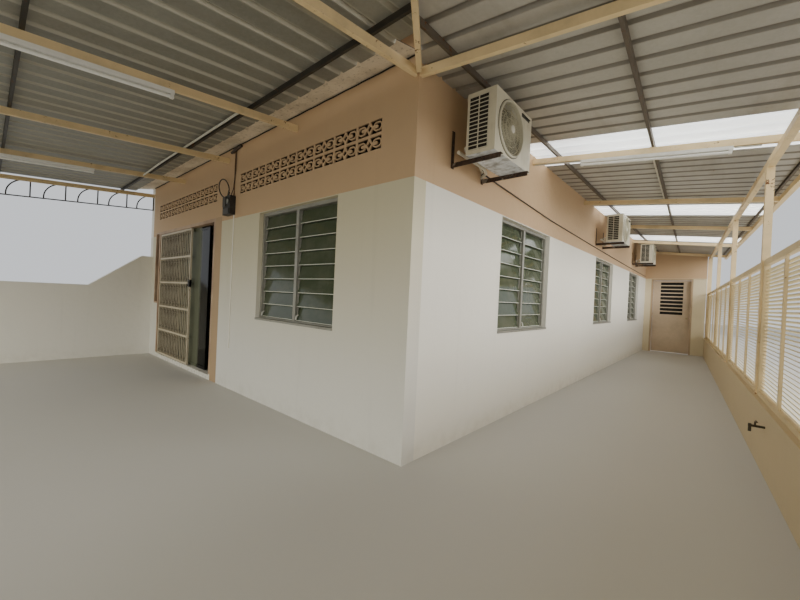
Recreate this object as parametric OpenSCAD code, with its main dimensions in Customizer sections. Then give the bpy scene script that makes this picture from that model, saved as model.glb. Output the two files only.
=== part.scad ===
// Single-storey corner house with a steel-framed sheet awning over its porch and side passage.
// Origin: the open front corner of the walls at ground level. The front wall runs to -X,
// the side wall to +Y, and Z is up. Millimetres.

/* [House] */
// Front wall, from the open corner to the face of the party wall
front_len = 6106; // [5900:1:7200]
// Side wall, from the front face to the rear face
side_len = 10994; // [10900:1:11900]
// Thickness of every masonry wall
wall_t = 140; // [110:5:180]
// Top of the walls, under the main roof
wall_h = 3300; // [3260:10:3600]
// Thickness of the floor slab above the ground
floor_t = 50; // [30:5:90]

/* [Windows] */
// Width of a window opening
win_w = 1375; // [1200:5:1450]
// Underside of the window heads
win_head = 2100; // [2050:5:2130]
// Top of the window sills
win_sill = 905; // [800:5:1000]
// Open corner to the near edge of the front window
front_win_x = 863; // [600:1:1000]
// Front face to the near edge of the first side window
side_win_y1 = 1420; // [1250:10:1600]
// Front face to the near edge of the second side window
side_win_y2 = 5140; // [4900:10:5300]
// Front face to the near edge of the third side window
side_win_y3 = 8310; // [8200:10:8500]
// Open corner to the near edge of the first rear window
rear_win_x1 = 900; // [700:10:1200]
// Open corner to the near edge of the second rear window
rear_win_x2 = 3700; // [3500:10:4000]
// Face of a wall to the face of its window frame
frame_setback = 50; // [30:1:60]
// Height of the sill strip in front of a window frame
sill_h = 22; // [15:1:30]
// Depth of a window frame
frame_d = 75; // [60:1:90]
// Sight width of a window frame
frame_w = 34; // [25:1:45]
// Width of the mullion between the two bays of blades
mullion_w = 46; // [36:1:60]
// Glass blades in each bay
blades = 8; // [6:1:10]
// Thickness of a glass blade
blade_t = 6; // [4:1:8]
// Lean of a blade from upright, in degrees
blade_lean = 12; // [8:1:20]

/* [Front door] */
// Party wall to the far edge of the doorway
door_end = 346; // [320:1:400]
// Width of the doorway
door_w = 2340; // [2200:5:2350]
// Top of the doorway
door_h = 2170; // [2140:5:2200]
// Width of the side light beyond the doorway
light_w = 190; // [150:5:220]
// Underside of the side light
light_sill = 930; // [800:5:1000]
// Sight width of the door frame
door_frame_w = 45; // [35:1:60]
// Height of the threshold above the floor
track_h = 12; // [8:1:20]
// Width of the grille that slides
grille_w = 1400; // [1300:5:1450]
// Doorway's far edge to the far stile of that grille, with the grille as it stands
grille_rest = 75; // [60:5:100]
// Width of the grille that stays
fixed_grille_w = 900; // [850:5:1000]
// Width of each glass leaf
leaf_w = 1180; // [1150:5:1200]
// Gap left open at the near jamb by the glass leaf
leaf_gap = 300; // [200:10:400]
// Play between a sliding leaf and what it runs in
slide_play = 6; // [5:1:8]

/* [Vent blocks] */
// Width of one pierced block
block_w = 301; // [290:1:302]
// Height of one pierced block
block_h = 131; // [120:1:140]
// Depth of one pierced block
block_d = 50; // [40:5:70]
// Blocks in a row
block_n = 8; // [7:1:8]
// Rows of blocks
block_rows = 2; // [2:1:2]
// Bottom of the blocks
block_z = 2382; // [2300:1:2450]
// Open corner to the near edge of the blocks over the window
window_vent_x = 345; // [300:5:400]
// How far the blocks over the door start before its near edge
door_vent_in = 30; // [10:5:50]

/* [Passage end] */
// Width of the passage door's opening
end_door_w = 960; // [900:5:1000]
// Side wall to the near edge of that opening
end_door_x = 150; // [100:5:180]
// Height of that opening
end_door_h = 2100; // [2050:5:2130]
// Thickness of the passage door
end_door_t = 38; // [32:1:45]
// Slats in the passage door
end_slats = 8; // [6:1:10]
// Height of one of those slats
end_slat_h = 30; // [20:2:44]

/* [Awning] */
// Slope of the front awning, in degrees
front_pitch = 4.7; // [3.5:0.1:6]
// Slope of the side awning, in degrees
side_pitch = 6.4; // [5.5:0.1:7.5]
// Underside of the rafters at the wall
rafter_z = 2830; // [2800:5:2850]
// Depth of a rafter
rafter_d = 60; // [50:5:70]
// Width of a rafter
rafter_w = 35; // [30:5:50]
// Depth of a purlin
purlin_d = 40; // [30:5:50]
// Open corner to the purlin nearest the side wall
wall_purlin_x = 290; // [250:10:320]
// Open corner to the side awning's middle purlin
mid_purlin_x = 1265; // [1220:5:1300]
// Front wall to its first purlin
first_purlin_y = 485; // [460:5:510]
// Purlin to purlin at the front
front_purlin_p = 1440; // [1400:10:1470]
// Front end of the porch wall to the front edge of the awning
front_over = 150; // [130:10:400]
// Front wall to the upper edge of the front sheets
sheet_in = 270; // [240:10:300]
// How far the flashing laps over the front sheets
flash_lap = 50; // [40:5:80]
// Height of the flashing at the wall
flash_z = 3000; // [2990:2:3010]
// Fence line to the side edge of the awning
awning_over = 450; // [400:10:500]
// Pitch of the sheet ribs
rib_p = 190; // [170:5:220]
// Height of the sheet ribs
rib_h = 25; // [18:1:32]
// Thickness of a sheet
sheet_t = 3; // [2:0.5:5]
// Front face to the start of the first clear sheet
clear_y = 1780; // [1700:5:1900]
// Ribs across a clear sheet
clear_n = 4; // [3:1:5]
// Ribs from one clear sheet to the next
clear_gap_n = 12; // [11:1:13]
// Rafter to rafter on the side
side_rafter_p = 2110; // [2050:5:2150]
// Rafter to rafter at the front
front_rafter_p = 1530; // [1480:5:1550]
// Depth of the beam along the posts
beam_d = 60; // [50:5:90]

/* [Fence] */
// Open corner to the inner face of the fence wall, level with the front face
fence_x = 2117; // [2000:5:2300]
// Splay of the fence towards the house, in degrees
fence_splay = 3.833; // [3:0.001:4.4]
// Height of the fence wall with its coping
dwarf_h = 505; // [450:5:560]
// Thickness of the fence wall
dwarf_t = 115; // [100:5:140]
// Thickness of the coping
coping_t = 45; // [35:5:60]
// Top of the fence rail
rail_z = 1710; // [1600:5:1800]
// Fence post to fence post
post_p = 2560; // [2500:5:2600]
// Front face to the first post beside the house
post_y = 2610; // [2560:5:2660]
// Width of a post
post_w = 55; // [50:1:70]
// Width of one screen between its mullions
screen_p = 780; // [700:10:820]
// Pitch of the slats
slat_p = 31; // [28:0.5:40]

/* [Porch wall] */
// Height of the low part of the porch wall
porch_low = 1198; // [1100:1:1300]
// Height of its high part at the house
porch_high = 1755; // [1650:5:1900]
// Front face to the end of the high part
porch_flat = 160; // [100:5:250]
// Front face to the foot of the rake
porch_rake = 880; // [700:5:1000]
// Front face to the front end of the porch wall and the fence wall
porch_len = 4880; // [4600:10:5000]

/* [Main roof] */
// Pitch of the main roof, in degrees
roof_pitch = 20; // [17:0.5:24]
// Overhang of the eaves
eave = 450; // [350:10:500]
// Depth of the tiles with their battens, square to the slope
tile_d = 65; // [50:1:80]
// Radius of the round ridge and hip tiles
ridge_r = 115; // [100:1:130]

/* [Fittings] */
// Width of an outdoor unit
unit_w = 640; // [600:10:700]
// Depth of an outdoor unit
unit_d = 240; // [220:5:280]
// Height of an outdoor unit
unit_h = 465; // [440:5:480]
// Side wall to the back of an outdoor unit
unit_x = 180; // [120:5:220]
// Top of the bracket arms
unit_z = 2335; // [2290:1:2350]
// Front face to the first outdoor unit
unit_y1 = 383; // [300:1:450]
// Front face to the second outdoor unit
unit_y2 = 4980; // [4900:10:5050]
// Fourth side rafter past the corner to the third unit
unit_past = 12; // [8:1:40]
// Height of the meter box
meter_h = 230; // [200:5:260]
// Width of the meter box
meter_w = 200; // [170:5:230]
// Depth of the meter box
meter_d = 70; // [60:5:100]
// Doorway to the meter box
meter_gap = 370; // [340:5:420]
// Bottom of the meter box
meter_z = 2150; // [2120:5:2180]
// Front face to the garden tap
tap_y = 1930; // [1800:10:2100]
// Height of the garden tap
tap_z = 362; // [330:2:400]
// Length of a light batten
batten_l = 1220; // [1150:10:1300]
// Depth of a light batten
batten_d = 62; // [50:2:80]

/* [Hidden] */
$fn = 48;
big = 40000;
party_x = front_len + wall_t;
front_fall = tan(front_pitch);
side_fall = tan(side_pitch);
fence_fall = tan(fence_splay);
roof_fall = tan(roof_pitch);
rafter_top = rafter_z + rafter_d;
sheet_z = rafter_top + purlin_d;
door_far = front_len - door_end;
door_x = door_far - door_w;
door_vent_x = door_x - door_vent_in;
meter_x = door_x - meter_gap - meter_w;
ridge_y = side_len / 2;
clear_w = clear_n * rib_p;
clear_p = (clear_n + clear_gap_n) * rib_p;
awning_d = porch_len + front_over;
beam_w = 50;
front_beam_y = -porch_len + post_w;
rafter_len = awning_d - 110;
end_face = side_len - wall_t;
wall_joint_x = door_vent_x - 60;
band_out = 25;
side_wins = [side_win_y1, side_win_y2, side_win_y3];
rear_wins = [rear_win_x1, rear_win_x2];
units = [unit_y1, unit_y2, 5 + 4 * side_rafter_p + rafter_w + unit_past];
unit_front = unit_x + unit_d;
unit_foot = min(unit_z, rafter_top - unit_front * side_fall - unit_h - 5);
fan_r = unit_h * 0.44;
cream = "#cfc8b2";
ochre = "#b49a72";
steel = "#c6ab78";
dark = "#4c4740";
zinc = "#8b8984";
alu = "#b7b9b5";

// Distance of the fence line from the side wall at a distance y behind the front face
function fence_at(y) = fence_x - fence_fall * y;

// A flat piece with its elevation drawn in X and Z and its thickness from y to y + t
module facing_front(y, t) { translate([0, y + t, 0]) rotate([90, 0, 0]) linear_extrude(t) children(); }

// A flat piece with its elevation drawn in Y and Z and its thickness from x to x + t
module facing_side(x, t) { translate([x, 0, 0]) rotate([90, 0, 90]) linear_extrude(t) children(); }

// Rectangle from one corner to the other
module rect(x0, z0, x1, z1) { translate([x0, z0]) square([x1 - x0, z1 - z0]); }

// A piece of the floor plan carried up through everything
module column(points) { translate([0, 0, -100]) linear_extrude(big) polygon(points); }

// The flat layer of the front awning whose underside meets the wall at z, t thick measured upright
module front_layer(z, t) {
    translate([0, 0, z]) rotate([front_pitch, 0, 0]) translate([-big / 2, -big / 2, 0])
        cube([big, big, t * cos(front_pitch)]);
}

// The flat layer of the side awning whose underside meets the wall at z, t thick measured upright
module side_layer(z, t) {
    translate([0, 0, z]) rotate([0, side_pitch, 0]) translate([-big / 2, -big / 2, 0])
        cube([big, big, t * cos(side_pitch)]);
}

module floor_slab() {
    color("#a9a59b") translate([-front_len, wall_t, 0]) cube([front_len - wall_t, side_len - 2 * wall_t, floor_t]);
}

// Opening for a panel of vent blocks
module vent_hole(start) {
    rect(-start - block_n * block_w, block_z, -start, block_z + block_rows * block_h);
}

module front_wall() {
    color(cream) facing_front(0, wall_t) difference() {
        union() {
            rect(-door_x, 0, 0, door_h);
            rect(-wall_joint_x, door_h - 1, 0, wall_h);
        }
        rect(-front_win_x - win_w, win_sill, -front_win_x, win_head);
        vent_hole(window_vent_x);
    }
}

module front_wall_end() {
    color(cream) facing_front(0, wall_t) difference() {
        rect(-front_len, 0, -door_far, door_h);
        rect(-door_far - light_w, light_sill, -door_far + 1, door_h + 1);
    }
}

module front_wall_over_door() {
    color(ochre) facing_front(0, wall_t) difference() {
        rect(-front_len, door_h, -wall_joint_x, wall_h);
        vent_hole(door_vent_x);
    }
}

module side_wall() {
    color(cream) facing_side(-wall_t, wall_t) difference() {
        rect(wall_t, 0, side_len - wall_t, wall_h);
        for (y = side_wins) rect(y, win_sill, y + win_w, win_head);
    }
}

module rear_wall() {
    color(cream) facing_front(side_len - wall_t, wall_t) difference() {
        rect(-front_len, 0, 0, wall_h);
        for (x = rear_wins) rect(-x - win_w, win_sill, -x, win_head);
    }
}

module party_wall() {
    color(cream) facing_side(-party_x, wall_t) polygon([
        [0, 0], [side_len, 0], [side_len, wall_h],
        [ridge_y, wall_h + ridge_y * tan(roof_pitch)], [0, wall_h]]);
}

module porch_wall() {
    color(cream) facing_side(-party_x, wall_t) polygon([
        [-porch_len, 0], [0, 0], [0, porch_high], [-porch_flat, porch_high],
        [-porch_rake, porch_low], [-porch_len, porch_low]]);
}

module end_wall_sides() {
    color(cream) linear_extrude(end_door_h) {
        polygon([[0, end_face], [end_door_x, end_face], [end_door_x, side_len], [0, side_len]]);
        polygon([[end_door_x + end_door_w, end_face], [fence_at(end_face), end_face],
                 [fence_at(side_len), side_len], [end_door_x + end_door_w, side_len]]);
    }
}

module end_wall_over_door() {
    y0 = end_face - band_out;
    color(ochre) difference() {
        translate([0, 0, end_door_h]) linear_extrude(wall_h - end_door_h)
            polygon([[0, y0], [fence_at(y0), y0], [fence_at(side_len), side_len], [0, side_len]]);
        side_layer(sheet_z, big / 4);
    }
}

block_bar = 12;
ring_w = 11;
ring_r = 36;
ring_half = 14;
lozenge = 23;
strut = 14;

// A disc of radius r drawn out sideways to a stadium
module stadium(r) {
    for (s = [-1, 1]) translate([s * ring_half, 0]) circle(r);
    square([2 * ring_half, 2 * r], center = true);
}

// What is left solid inside one block's border: two rings with bean-shaped eyes round a pierced diamond
module block_figure() {
    mid = block_h / 2;
    for (s = [0, 1]) translate([s * block_w, mid]) mirror([s, 0]) translate([block_bar + ring_r + ring_half - 2, 0])
        difference() {
            stadium(ring_r);
            difference() {
                stadium(ring_r - ring_w);
                translate([8, 0]) circle(13);
                translate([8, -13]) square([ring_half + ring_r, 26]);
            }
        }
    translate([block_w / 2, mid]) difference() {
        polygon([[-lozenge - strut, 0], [-strut / 2, mid - block_bar + 1], [strut / 2, mid - block_bar + 1],
                 [lozenge + strut, 0], [strut / 2, -mid + block_bar - 1], [-strut / 2, -mid + block_bar - 1]]);
        polygon([[-lozenge, 0], [0, lozenge * 1.15], [lozenge, 0], [0, -lozenge * 1.15]]);
    }
    for (s = [-1, 1]) translate([block_w / 2 + s * (lozenge + strut - 2), mid]) square([12, 26], center = true);
}

// A panel of pierced blocks whose near edge lies at a distance from the open corner
module vent_panel(start) {
    facing_front(0, block_d) difference() {
        vent_hole(start);
        for (i = [1:block_n], j = [0:block_rows - 1])
            translate([-start - i * block_w, block_z + j * block_h]) difference() {
                translate([block_bar, block_bar]) square([block_w - 2 * block_bar, block_h - 2 * block_bar]);
                block_figure();
            }
    }
}

module vent_blocks() { color(ochre) for (x = [window_vent_x, door_vent_x]) vent_panel(x); }

sill_out = 8;

// A two-bay window frame standing in X and Z, with its outside face at y = 0
module window_frame() {
    bay = (win_w - 2 * frame_w - mullion_w) / 2;
    color(alu) facing_front(0, frame_d) difference() {
        rect(0, win_sill, win_w, win_head);
        for (x = [frame_w, frame_w + bay + mullion_w])
            rect(x, win_sill + frame_w, x + bay, win_head - frame_w);
    }
    color(alu) translate([0, -frame_setback - sill_out, win_sill]) cube([win_w, frame_setback + sill_out, sill_h]);
}

// The glass blades of one window
module window_blades() {
    bay = (win_w - 2 * frame_w - mullion_w) / 2;
    clear = win_head - win_sill - 2 * frame_w;
    pitch = (clear - 6) / blades;
    color("#9fb3ad") for (x = [frame_w, frame_w + bay + mullion_w], i = [0:blades - 1])
        translate([x, frame_d / 2, win_sill + frame_w + 3 + (i + 0.5) * pitch]) rotate([-blade_lean, 0, 0])
            translate([0, -blade_t / 2, -pitch / 2 / cos(blade_lean) + blade_t / 4])
                cube([bay, blade_t, pitch / cos(blade_lean) - blade_t / 2]);
}

// Moves a window from X and Z at the origin into its wall
module in_front(x) { translate([-x - win_w, frame_setback, 0]) children(); }
module in_side(y) { translate([-frame_setback, y, 0]) rotate([0, 0, 90]) children(); }
module in_rear(x) { translate([-x, side_len - frame_setback, 0]) rotate([0, 0, 180]) children(); }

module front_window_frame() { in_front(front_win_x) window_frame(); }
module front_window_blades() { in_front(front_win_x) window_blades(); }
module side_window_frames() { for (y = side_wins) in_side(y) window_frame(); }
module side_window_blades() { for (y = side_wins) in_side(y) window_blades(); }
module rear_window_frames() { for (x = rear_wins) in_rear(x) window_frame(); }
module rear_window_blades() { for (x = rear_wins) in_rear(x) window_blades(); }

// Layers of the doorway from the outside: two grilles, then two glass leaves
grille_t = 25;
leaf_t = 26;
lane1 = 6;
lane2 = lane1 + grille_t + slide_play;
lane3 = lane2 + grille_t + slide_play;
lane4 = lane3 + leaf_t + slide_play;
door_foot = floor_t + track_h;
door_top = door_h - door_frame_w;
light_rim = 25;
wheel_r = 15;
wheel_seat = 0.3;

module door_frame() {
    color("#8f7355") facing_front(0, wall_t) difference() {
        union() {
            rect(-door_far, 0, -door_x, door_h);
            rect(-door_far - light_w, light_sill, -door_far + 1, door_h);
        }
        rect(-door_far + door_frame_w, door_foot, -door_x - door_frame_w, door_top);
        rect(-door_far - light_w + light_rim, light_sill + light_rim, -door_far, door_h - light_rim);
    }
}

// Places a leaf whose far stile stands at x from the far edge of the doorway
module leaf_at(x, lane) { translate([-door_far + x, lane, 0]) children(); }

// A framed steel grille of width w: rails between two stiles, and rows of bars
module grille(w, foot, top) {
    tube = 30;
    panels = 5;
    bars = round((w - 2 * tube) / 75);
    bar = 10;
    pitch = (w - 2 * tube) / bars;
    panel_h = (top - foot - tube) / panels;
    facing_front(0, grille_t) difference() {
        rect(0, foot, w, top);
        for (i = [0:panels - 1]) rect(tube, foot + tube + i * panel_h, w - tube, foot + (i + 1) * panel_h);
    }
    facing_front((grille_t - bar) / 2, bar) for (i = [0:panels - 1], k = [1:bars - 1])
        translate([tube + k * pitch - bar / 2, foot + tube + i * panel_h - 1]) square([bar, panel_h - tube + 2]);
}

// A glazed aluminium leaf
module glass_leaf(foot, top) {
    stile = 42;
    facing_front(0, leaf_t) difference() {
        rect(0, foot, leaf_w, top);
        rect(stile, foot + stile, leaf_w - stile, top - stile);
    }
    facing_front(leaf_t / 2 - 3, 6) rect(stile - 2, foot + stile - 2, leaf_w - stile + 2, top - stile + 2);
}

// Two wheels under a leaf of width w and thickness t, on the threshold
module wheels(w, t) {
    for (x = [120, w - 120]) translate([x, t / 2 - 5, door_foot + wheel_seat + wheel_r]) rotate([-90, 0, 0])
        cylinder(r = wheel_r, h = 10);
}

module fixed_grille() { color("#cfcabb") leaf_at(door_frame_w, lane2) grille(fixed_grille_w, door_foot, door_top); }

module sliding_grille() {
    color("#cfcabb") leaf_at(grille_rest, lane1) {
        grille(grille_w, door_foot + slide_play, door_top - slide_play);
        wheels(grille_w, grille_t);
    }
}

module fixed_glass() {
    color(alu) leaf_at(door_frame_w, lane4) glass_leaf(door_foot, door_top);
    color("#5e6a66") facing_front(50, 6)
        rect(-door_far - light_w + light_rim, light_sill + light_rim, -door_far, door_h - light_rim);
}

module sliding_glass_leaf() {
    color(alu) leaf_at(door_w - door_frame_w - leaf_gap - leaf_w, lane3) {
        glass_leaf(door_foot + slide_play, door_top - slide_play);
        wheels(leaf_w, leaf_t);
    }
}

passage_gap = 7;
passage_frame = 40;
hinge_r = 7;
hinge_h = 45;
hinge_x = end_door_x + passage_frame + passage_gap;
hinge_y = side_len + hinge_r;
hinge_zs = [300, 1060, 1820];

// One knuckle of a hinge with its leaf, from z up; the leaf runs a distance w along X
module knuckle(z, w) {
    translate([hinge_x, hinge_y, z]) cylinder(r = hinge_r, h = hinge_h);
    translate([min(hinge_x, hinge_x + w), side_len - 0.5, z]) cube([abs(w), 3.5, hinge_h]);
    translate([hinge_x - 2, side_len + 0.3, z]) cube([4, hinge_r, hinge_h]);
}

module passage_door_frame() {
    color(ochre) {
        facing_front(end_face, wall_t) difference() {
            rect(end_door_x, 0, end_door_x + end_door_w, end_door_h);
            rect(end_door_x + passage_frame, -1, end_door_x + end_door_w - passage_frame, end_door_h - passage_frame);
        }
        for (z = hinge_zs) knuckle(z, -passage_gap - 25);
    }
}

module passage_door() {
    x1 = end_door_x + end_door_w - passage_frame - passage_gap;
    top = end_door_h - passage_frame - passage_gap;
    border = 170;
    hole_z = 1090;
    hole_top = top - 45;
    gap = (hole_top - hole_z - end_slats * end_slat_h) / (end_slats + 1);
    color("#b09078") {
        facing_front(side_len - end_door_t, end_door_t) difference() {
            rect(hinge_x, 12, x1, top);
            for (i = [0:end_slats]) let (z = hole_z + i * (gap + end_slat_h))
                rect(hinge_x + border, z, x1 - border, z + gap);
        }
        for (z = hinge_zs) knuckle(z + hinge_h + 0.3, 30);
    }
}

// Plan of the front awning and of the side awning, which meet along the hip
function edge_at(y) = fence_at(y) + awning_over;
board_in = 110;
board_w = 50;
butt = 0.2;
sheet_end = side_len + 60;
hip_k = side_fall / front_fall;
hip_x = (fence_x + awning_over) / (1 - fence_fall * hip_k);
hip_y = hip_k * hip_x;
front_plan = [[-party_x, -sheet_in], [sheet_in / hip_k, -sheet_in], [hip_x, -hip_y], [edge_at(-awning_d), -awning_d],
              [-party_x, -awning_d]];
side_plan = [[2, -2 * hip_k], [hip_x, -hip_y], [edge_at(sheet_end), sheet_end], [2, sheet_end]];
front_frame_plan = [[-party_x, 0], [0, 0], [hip_x, -hip_y], [edge_at(-awning_d) - board_in, -awning_d],
                    [-party_x, -awning_d]];

// Strip of plan along the fence line between two distances behind the front face, from x0 to x1 outside it
module fence_strip(y0, y1, x0, x1) {
    column([[fence_at(y0) + x0, y0], [fence_at(y0) + x1, y0], [fence_at(y1) + x1, y1], [fence_at(y1) + x0, y1]]);
}

// What stands on either side of the hip
module front_of_hip() { column([[0, 0], [big, -hip_k * big], [-big, -hip_k * big], [-big, 0]]); }
module behind_hip() { translate([0, butt, 0]) column([[0, 0], [big, -hip_k * big], [big, big], [0, big]]); }

// Rafters of the front, of the side, and the one along the hip
module awning_rafters() {
    hip_pitch = atan(side_fall / sqrt(1 + hip_k * hip_k));
    over = awning_over - board_in - butt;
    end_y = -hip_y - 2 * rafter_w;
    color(steel) {
        for (i = [-1:4]) intersection() {
            front_layer(rafter_z, rafter_d);
            translate([-5 - i * front_rafter_p - rafter_w, -rafter_len, 0]) cube([rafter_w, rafter_len, big]);
            column([[-party_x, 0], [-rafter_w / 2, 0], [hip_x, -hip_y - rafter_w], [hip_x, -awning_d],
                    [-party_x, -awning_d]]);
        }
        for (i = [0:floor((end_face - rafter_w - 5) / side_rafter_p)]) intersection() {
            y = 5 + i * side_rafter_p;
            side_layer(rafter_z, rafter_d);
            column([[0, y], [fence_at(y) + over, y], [fence_at(y + rafter_w) + over, y + rafter_w], [0, y + rafter_w]]);
        }
        intersection() {
            translate([0, 0, rafter_z]) rotate([0, 0, -atan(hip_k)]) rotate([0, hip_pitch, 0])
                translate([40, -rafter_w / 2, 0]) cube([hip_y * 1.5, rafter_w, rafter_d - rafter_w * side_fall]);
            column([[-rafter_w, 0], [fence_at(end_y) + over, end_y], [fence_at(0) + over, 0]]);
        }
    }
}

// Lattice girder over the porch wall: two chords, uprights, and an arch in each bay
module party_truss() {
    depth = 290;
    bar = 16;
    n = 12;
    len = -front_beam_y - (beam_w + post_w) / 2;
    bay = (len - bar) / n;
    function top(y) = rafter_top + y * front_fall;
    color(dark) facing_side(-party_x + wall_t / 2 - bar / 2, bar) difference() {
        polygon([[-len, top(-len) - depth], [0, top(0) - depth], [0, top(0)], [-len, top(-len)]]);
        for (i = [0:n - 1]) {
            y1 = -bar - i * bay;
            y0 = y1 - bay + bar;
            difference() {
                polygon([[y0, top(y0) - depth + bar], [y1, top(y1) - depth + bar], [y1, top(y1) - bar], [y0, top(y0) - bar]]);
                translate([y1, top(y1) - depth + bar]) difference() {
                    circle(depth * 0.86);
                    circle(depth * 0.86 - bar);
                }
            }
        }
    }
}

// A channel on edge, d deep: its flanges point towards +Y, and it runs along +X
channel_w = 22;
module channel(len, d) {
    wall = 3;
    difference() {
        cube([len, channel_w, d]);
        translate([-1, wall, wall]) cube([len + 2, channel_w, d - 2 * wall]);
    }
}

module front_purlins() {
    color(dark) intersection() {
        union() for (i = [0:3]) translate([0, 0, rafter_top]) rotate([front_pitch, 0, 0])
            translate([-party_x, -(first_purlin_y + i * front_purlin_p) / cos(front_pitch), 0])
                channel(2 * party_x, purlin_d * cos(front_pitch));
        column(front_frame_plan);
    }
}

module side_purlins() {
    y1 = end_face - band_out;
    color(dark) intersection() {
        translate([0, 0, rafter_top]) rotate([0, side_pitch, 0])
            for (q = [[wall_purlin_x, 0], [mid_purlin_x, 0.65], [fence_x + awning_over - board_in - channel_w, 1]])
                translate([q[0], 0, 0]) rotate([0, 0, 90 + q[1] * fence_splay]) translate([-big / 2, 0, 0])
                    channel(big, purlin_d * cos(side_pitch));
        column([[2, -2 * hip_k], [hip_x, -hip_y], [edge_at(y1), y1], [2, y1]]);
    }
}

// Section of a ribbed sheet n pitches wide: flat troughs between narrow ribs, and half a rib at either side
module ribbed_section(n, p, h, t) {
    low = concat([[0, h]], [for (i = [0:n - 1]) each
        [[(i + 0.05) * p, h], [(i + 0.12) * p, 0], [(i + 0.88) * p, 0], [(i + 0.95) * p, h]]], [[n * p, h]]);
    up = [for (q = low) [q[0], q[1] + t]];
    polygon(concat(low, [for (i = [len(up) - 1:-1:0]) up[i]]));
}

module front_sheets() {
    n = ceil((party_x + hip_x + 400) / rib_p);
    color(zinc) intersection() {
        translate([0, 0, sheet_z]) rotate([front_pitch, 0, 0]) translate([-party_x, 0, 0])
            rotate([90, 0, 0]) linear_extrude(awning_d * 1.1) ribbed_section(n, rib_p, rib_h, sheet_t);
        column(front_plan);
    }
}

// All of the side awning's sheets between two distances behind the front face
module side_sheet_run(y0, n) {
    intersection() {
        translate([0, y0, sheet_z]) rotate([0, side_pitch, 0]) rotate([90, 0, 90])
            linear_extrude(hip_x * 1.1) ribbed_section(n, rib_p, rib_h, sheet_t);
        column(side_plan);
    }
}

module side_sheets() {
    first = ceil((clear_y + hip_y) / rib_p) + 1;
    last = clear_y + 2 * clear_p + clear_w;
    color(zinc) {
        side_sheet_run(clear_y - first * rib_p, first);
        for (i = [0:1]) side_sheet_run(clear_y + i * clear_p + clear_w, clear_gap_n);
        side_sheet_run(last, ceil((sheet_end - last) / rib_p));
    }
}

module clear_sheets() {
    color("#f0f0ea", 0.6) for (i = [0:2]) side_sheet_run(clear_y + i * clear_p, clear_n);
}

// Plate that closes the gap between the front wall and the ribs of its sheets
module wall_flashing() {
    out = sheet_in + flash_lap;
    edge_z = sheet_z - out * front_fall + (rib_h + sheet_t) / cos(front_pitch);
    color("#d8d2c4") facing_side(-party_x, party_x)
        polygon([[0, flash_z], [0, flash_z + sheet_t], [-out, edge_z + sheet_t], [-out, edge_z]]);
}

// Beams along the posts, under the rafters, and the edge beams at the rafters' ends, each cut to its straight run
module awning_beams() {
    z = rafter_z - beam_d;
    in = post_in + (post_w - beam_w) / 2;
    over = awning_over - board_in;
    module front_run(y, x_end) {
        column([[-party_x, y], [fence_at(y) + x_end, y], [fence_at(y + beam_w) + x_end, y + beam_w], [-party_x, y + beam_w]]);
    }
    color(steel) {
        for (q = [[z, beam_d, in, beam_w, front_beam_y], [rafter_z, rafter_d, over, board_w, -rafter_len - board_w]]) {
            intersection() {
                side_layer(q[0], q[1]);
                fence_strip(-hip_y * 1.2, side_len, q[2], q[2] + q[3]);
                behind_hip();
            }
            intersection() {
                front_layer(q[0], q[1]);
                fence_strip(q[4], 0, q[2], q[2] + q[3]);
                front_of_hip();
            }
            intersection() {
                front_layer(q[0], q[1]);
                front_run(q[4], q[2] - butt);
            }
        }
    }
}

// The fence's own frame: X out of the passage from the wall's inner face, Y along it
module fence_frame() { translate([fence_x, 0, 0]) rotate([0, 0, fence_splay]) children(); }

post_in = 15;
rail_t = 40;
rail_in = 30;

// Posts along the fence: one at its front end, one to each bay, and one at the end wall
fence_posts = concat([(front_beam_y + beam_w / 2) / cos(fence_splay)],
                     [for (i = [-2:3]) post_y + i * post_p],
                     [(side_len - post_w) / cos(fence_splay)]);
panel_play = 0.1;
fence_bays = [for (i = [0:len(fence_posts) - 2])
    [fence_posts[i] + post_w / 2 + panel_play, fence_posts[i + 1] - post_w / 2 - panel_play]];

module awning_posts() {
    porch_posts = [[-party_x + (wall_t - post_w) / 2, porch_low], [-5 - 2 * front_rafter_p - rafter_w, 0],
                   [-5 - rafter_w, 0]];
    color(steel) difference() {
        union() {
            fence_frame() for (y = fence_posts)
                translate([post_in, y - post_w / 2, dwarf_h]) cube([post_w, post_w, big / 10]);
            for (p = porch_posts)
                translate([p[0], front_beam_y + (beam_w - post_w) / 2, p[1]]) cube([post_w, post_w, big / 10]);
        }
        side_layer(rafter_z - beam_d, big / 4);
        front_layer(rafter_z - beam_d, big / 4);
    }
}

// Rendered block wall with a coping that stands out by 6 mm on the inside
module fence_wall() {
    drip = 6;
    color(cream) intersection() {
        fence_frame() {
            translate([0, -2 * awning_d, 0]) cube([dwarf_t, 2 * awning_d + 2 * side_len, dwarf_h]);
            translate([-drip, -2 * awning_d, dwarf_h - coping_t]) cube([dwarf_t, 2 * awning_d + side_len + wall_t, coping_t]);
        }
        translate([-big / 2, -porch_len, 0]) cube([big, porch_len + side_len, big]);
        column([[-big, -big], [big, -big], [big, big], [fence_at(side_len), side_len], [fence_at(end_face), end_face],
                [-big, end_face]]);
    }
}

// Bottom and top rails, mullions at the posts and slimmer ones between the screens
module fence_rails() {
    mull_t = 18;
    color(steel) fence_frame() for (b = fence_bays) translate([rail_in, b[0], 0]) {
        w = b[1] - b[0];
        n = round(w / screen_p);
        translate([0, 0, dwarf_h]) cube([rail_t, w, rail_t]);
        translate([0, 0, rail_z - 50]) cube([rail_t, w, 50]);
        for (k = [0:n]) translate([0, k * (w - rail_t) / n, dwarf_h + rail_t - 1])
            cube([k == 0 || k == n ? rail_t : mull_t, rail_t, rail_z - 50 - dwarf_h - rail_t + 2]);
    }
}

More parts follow.
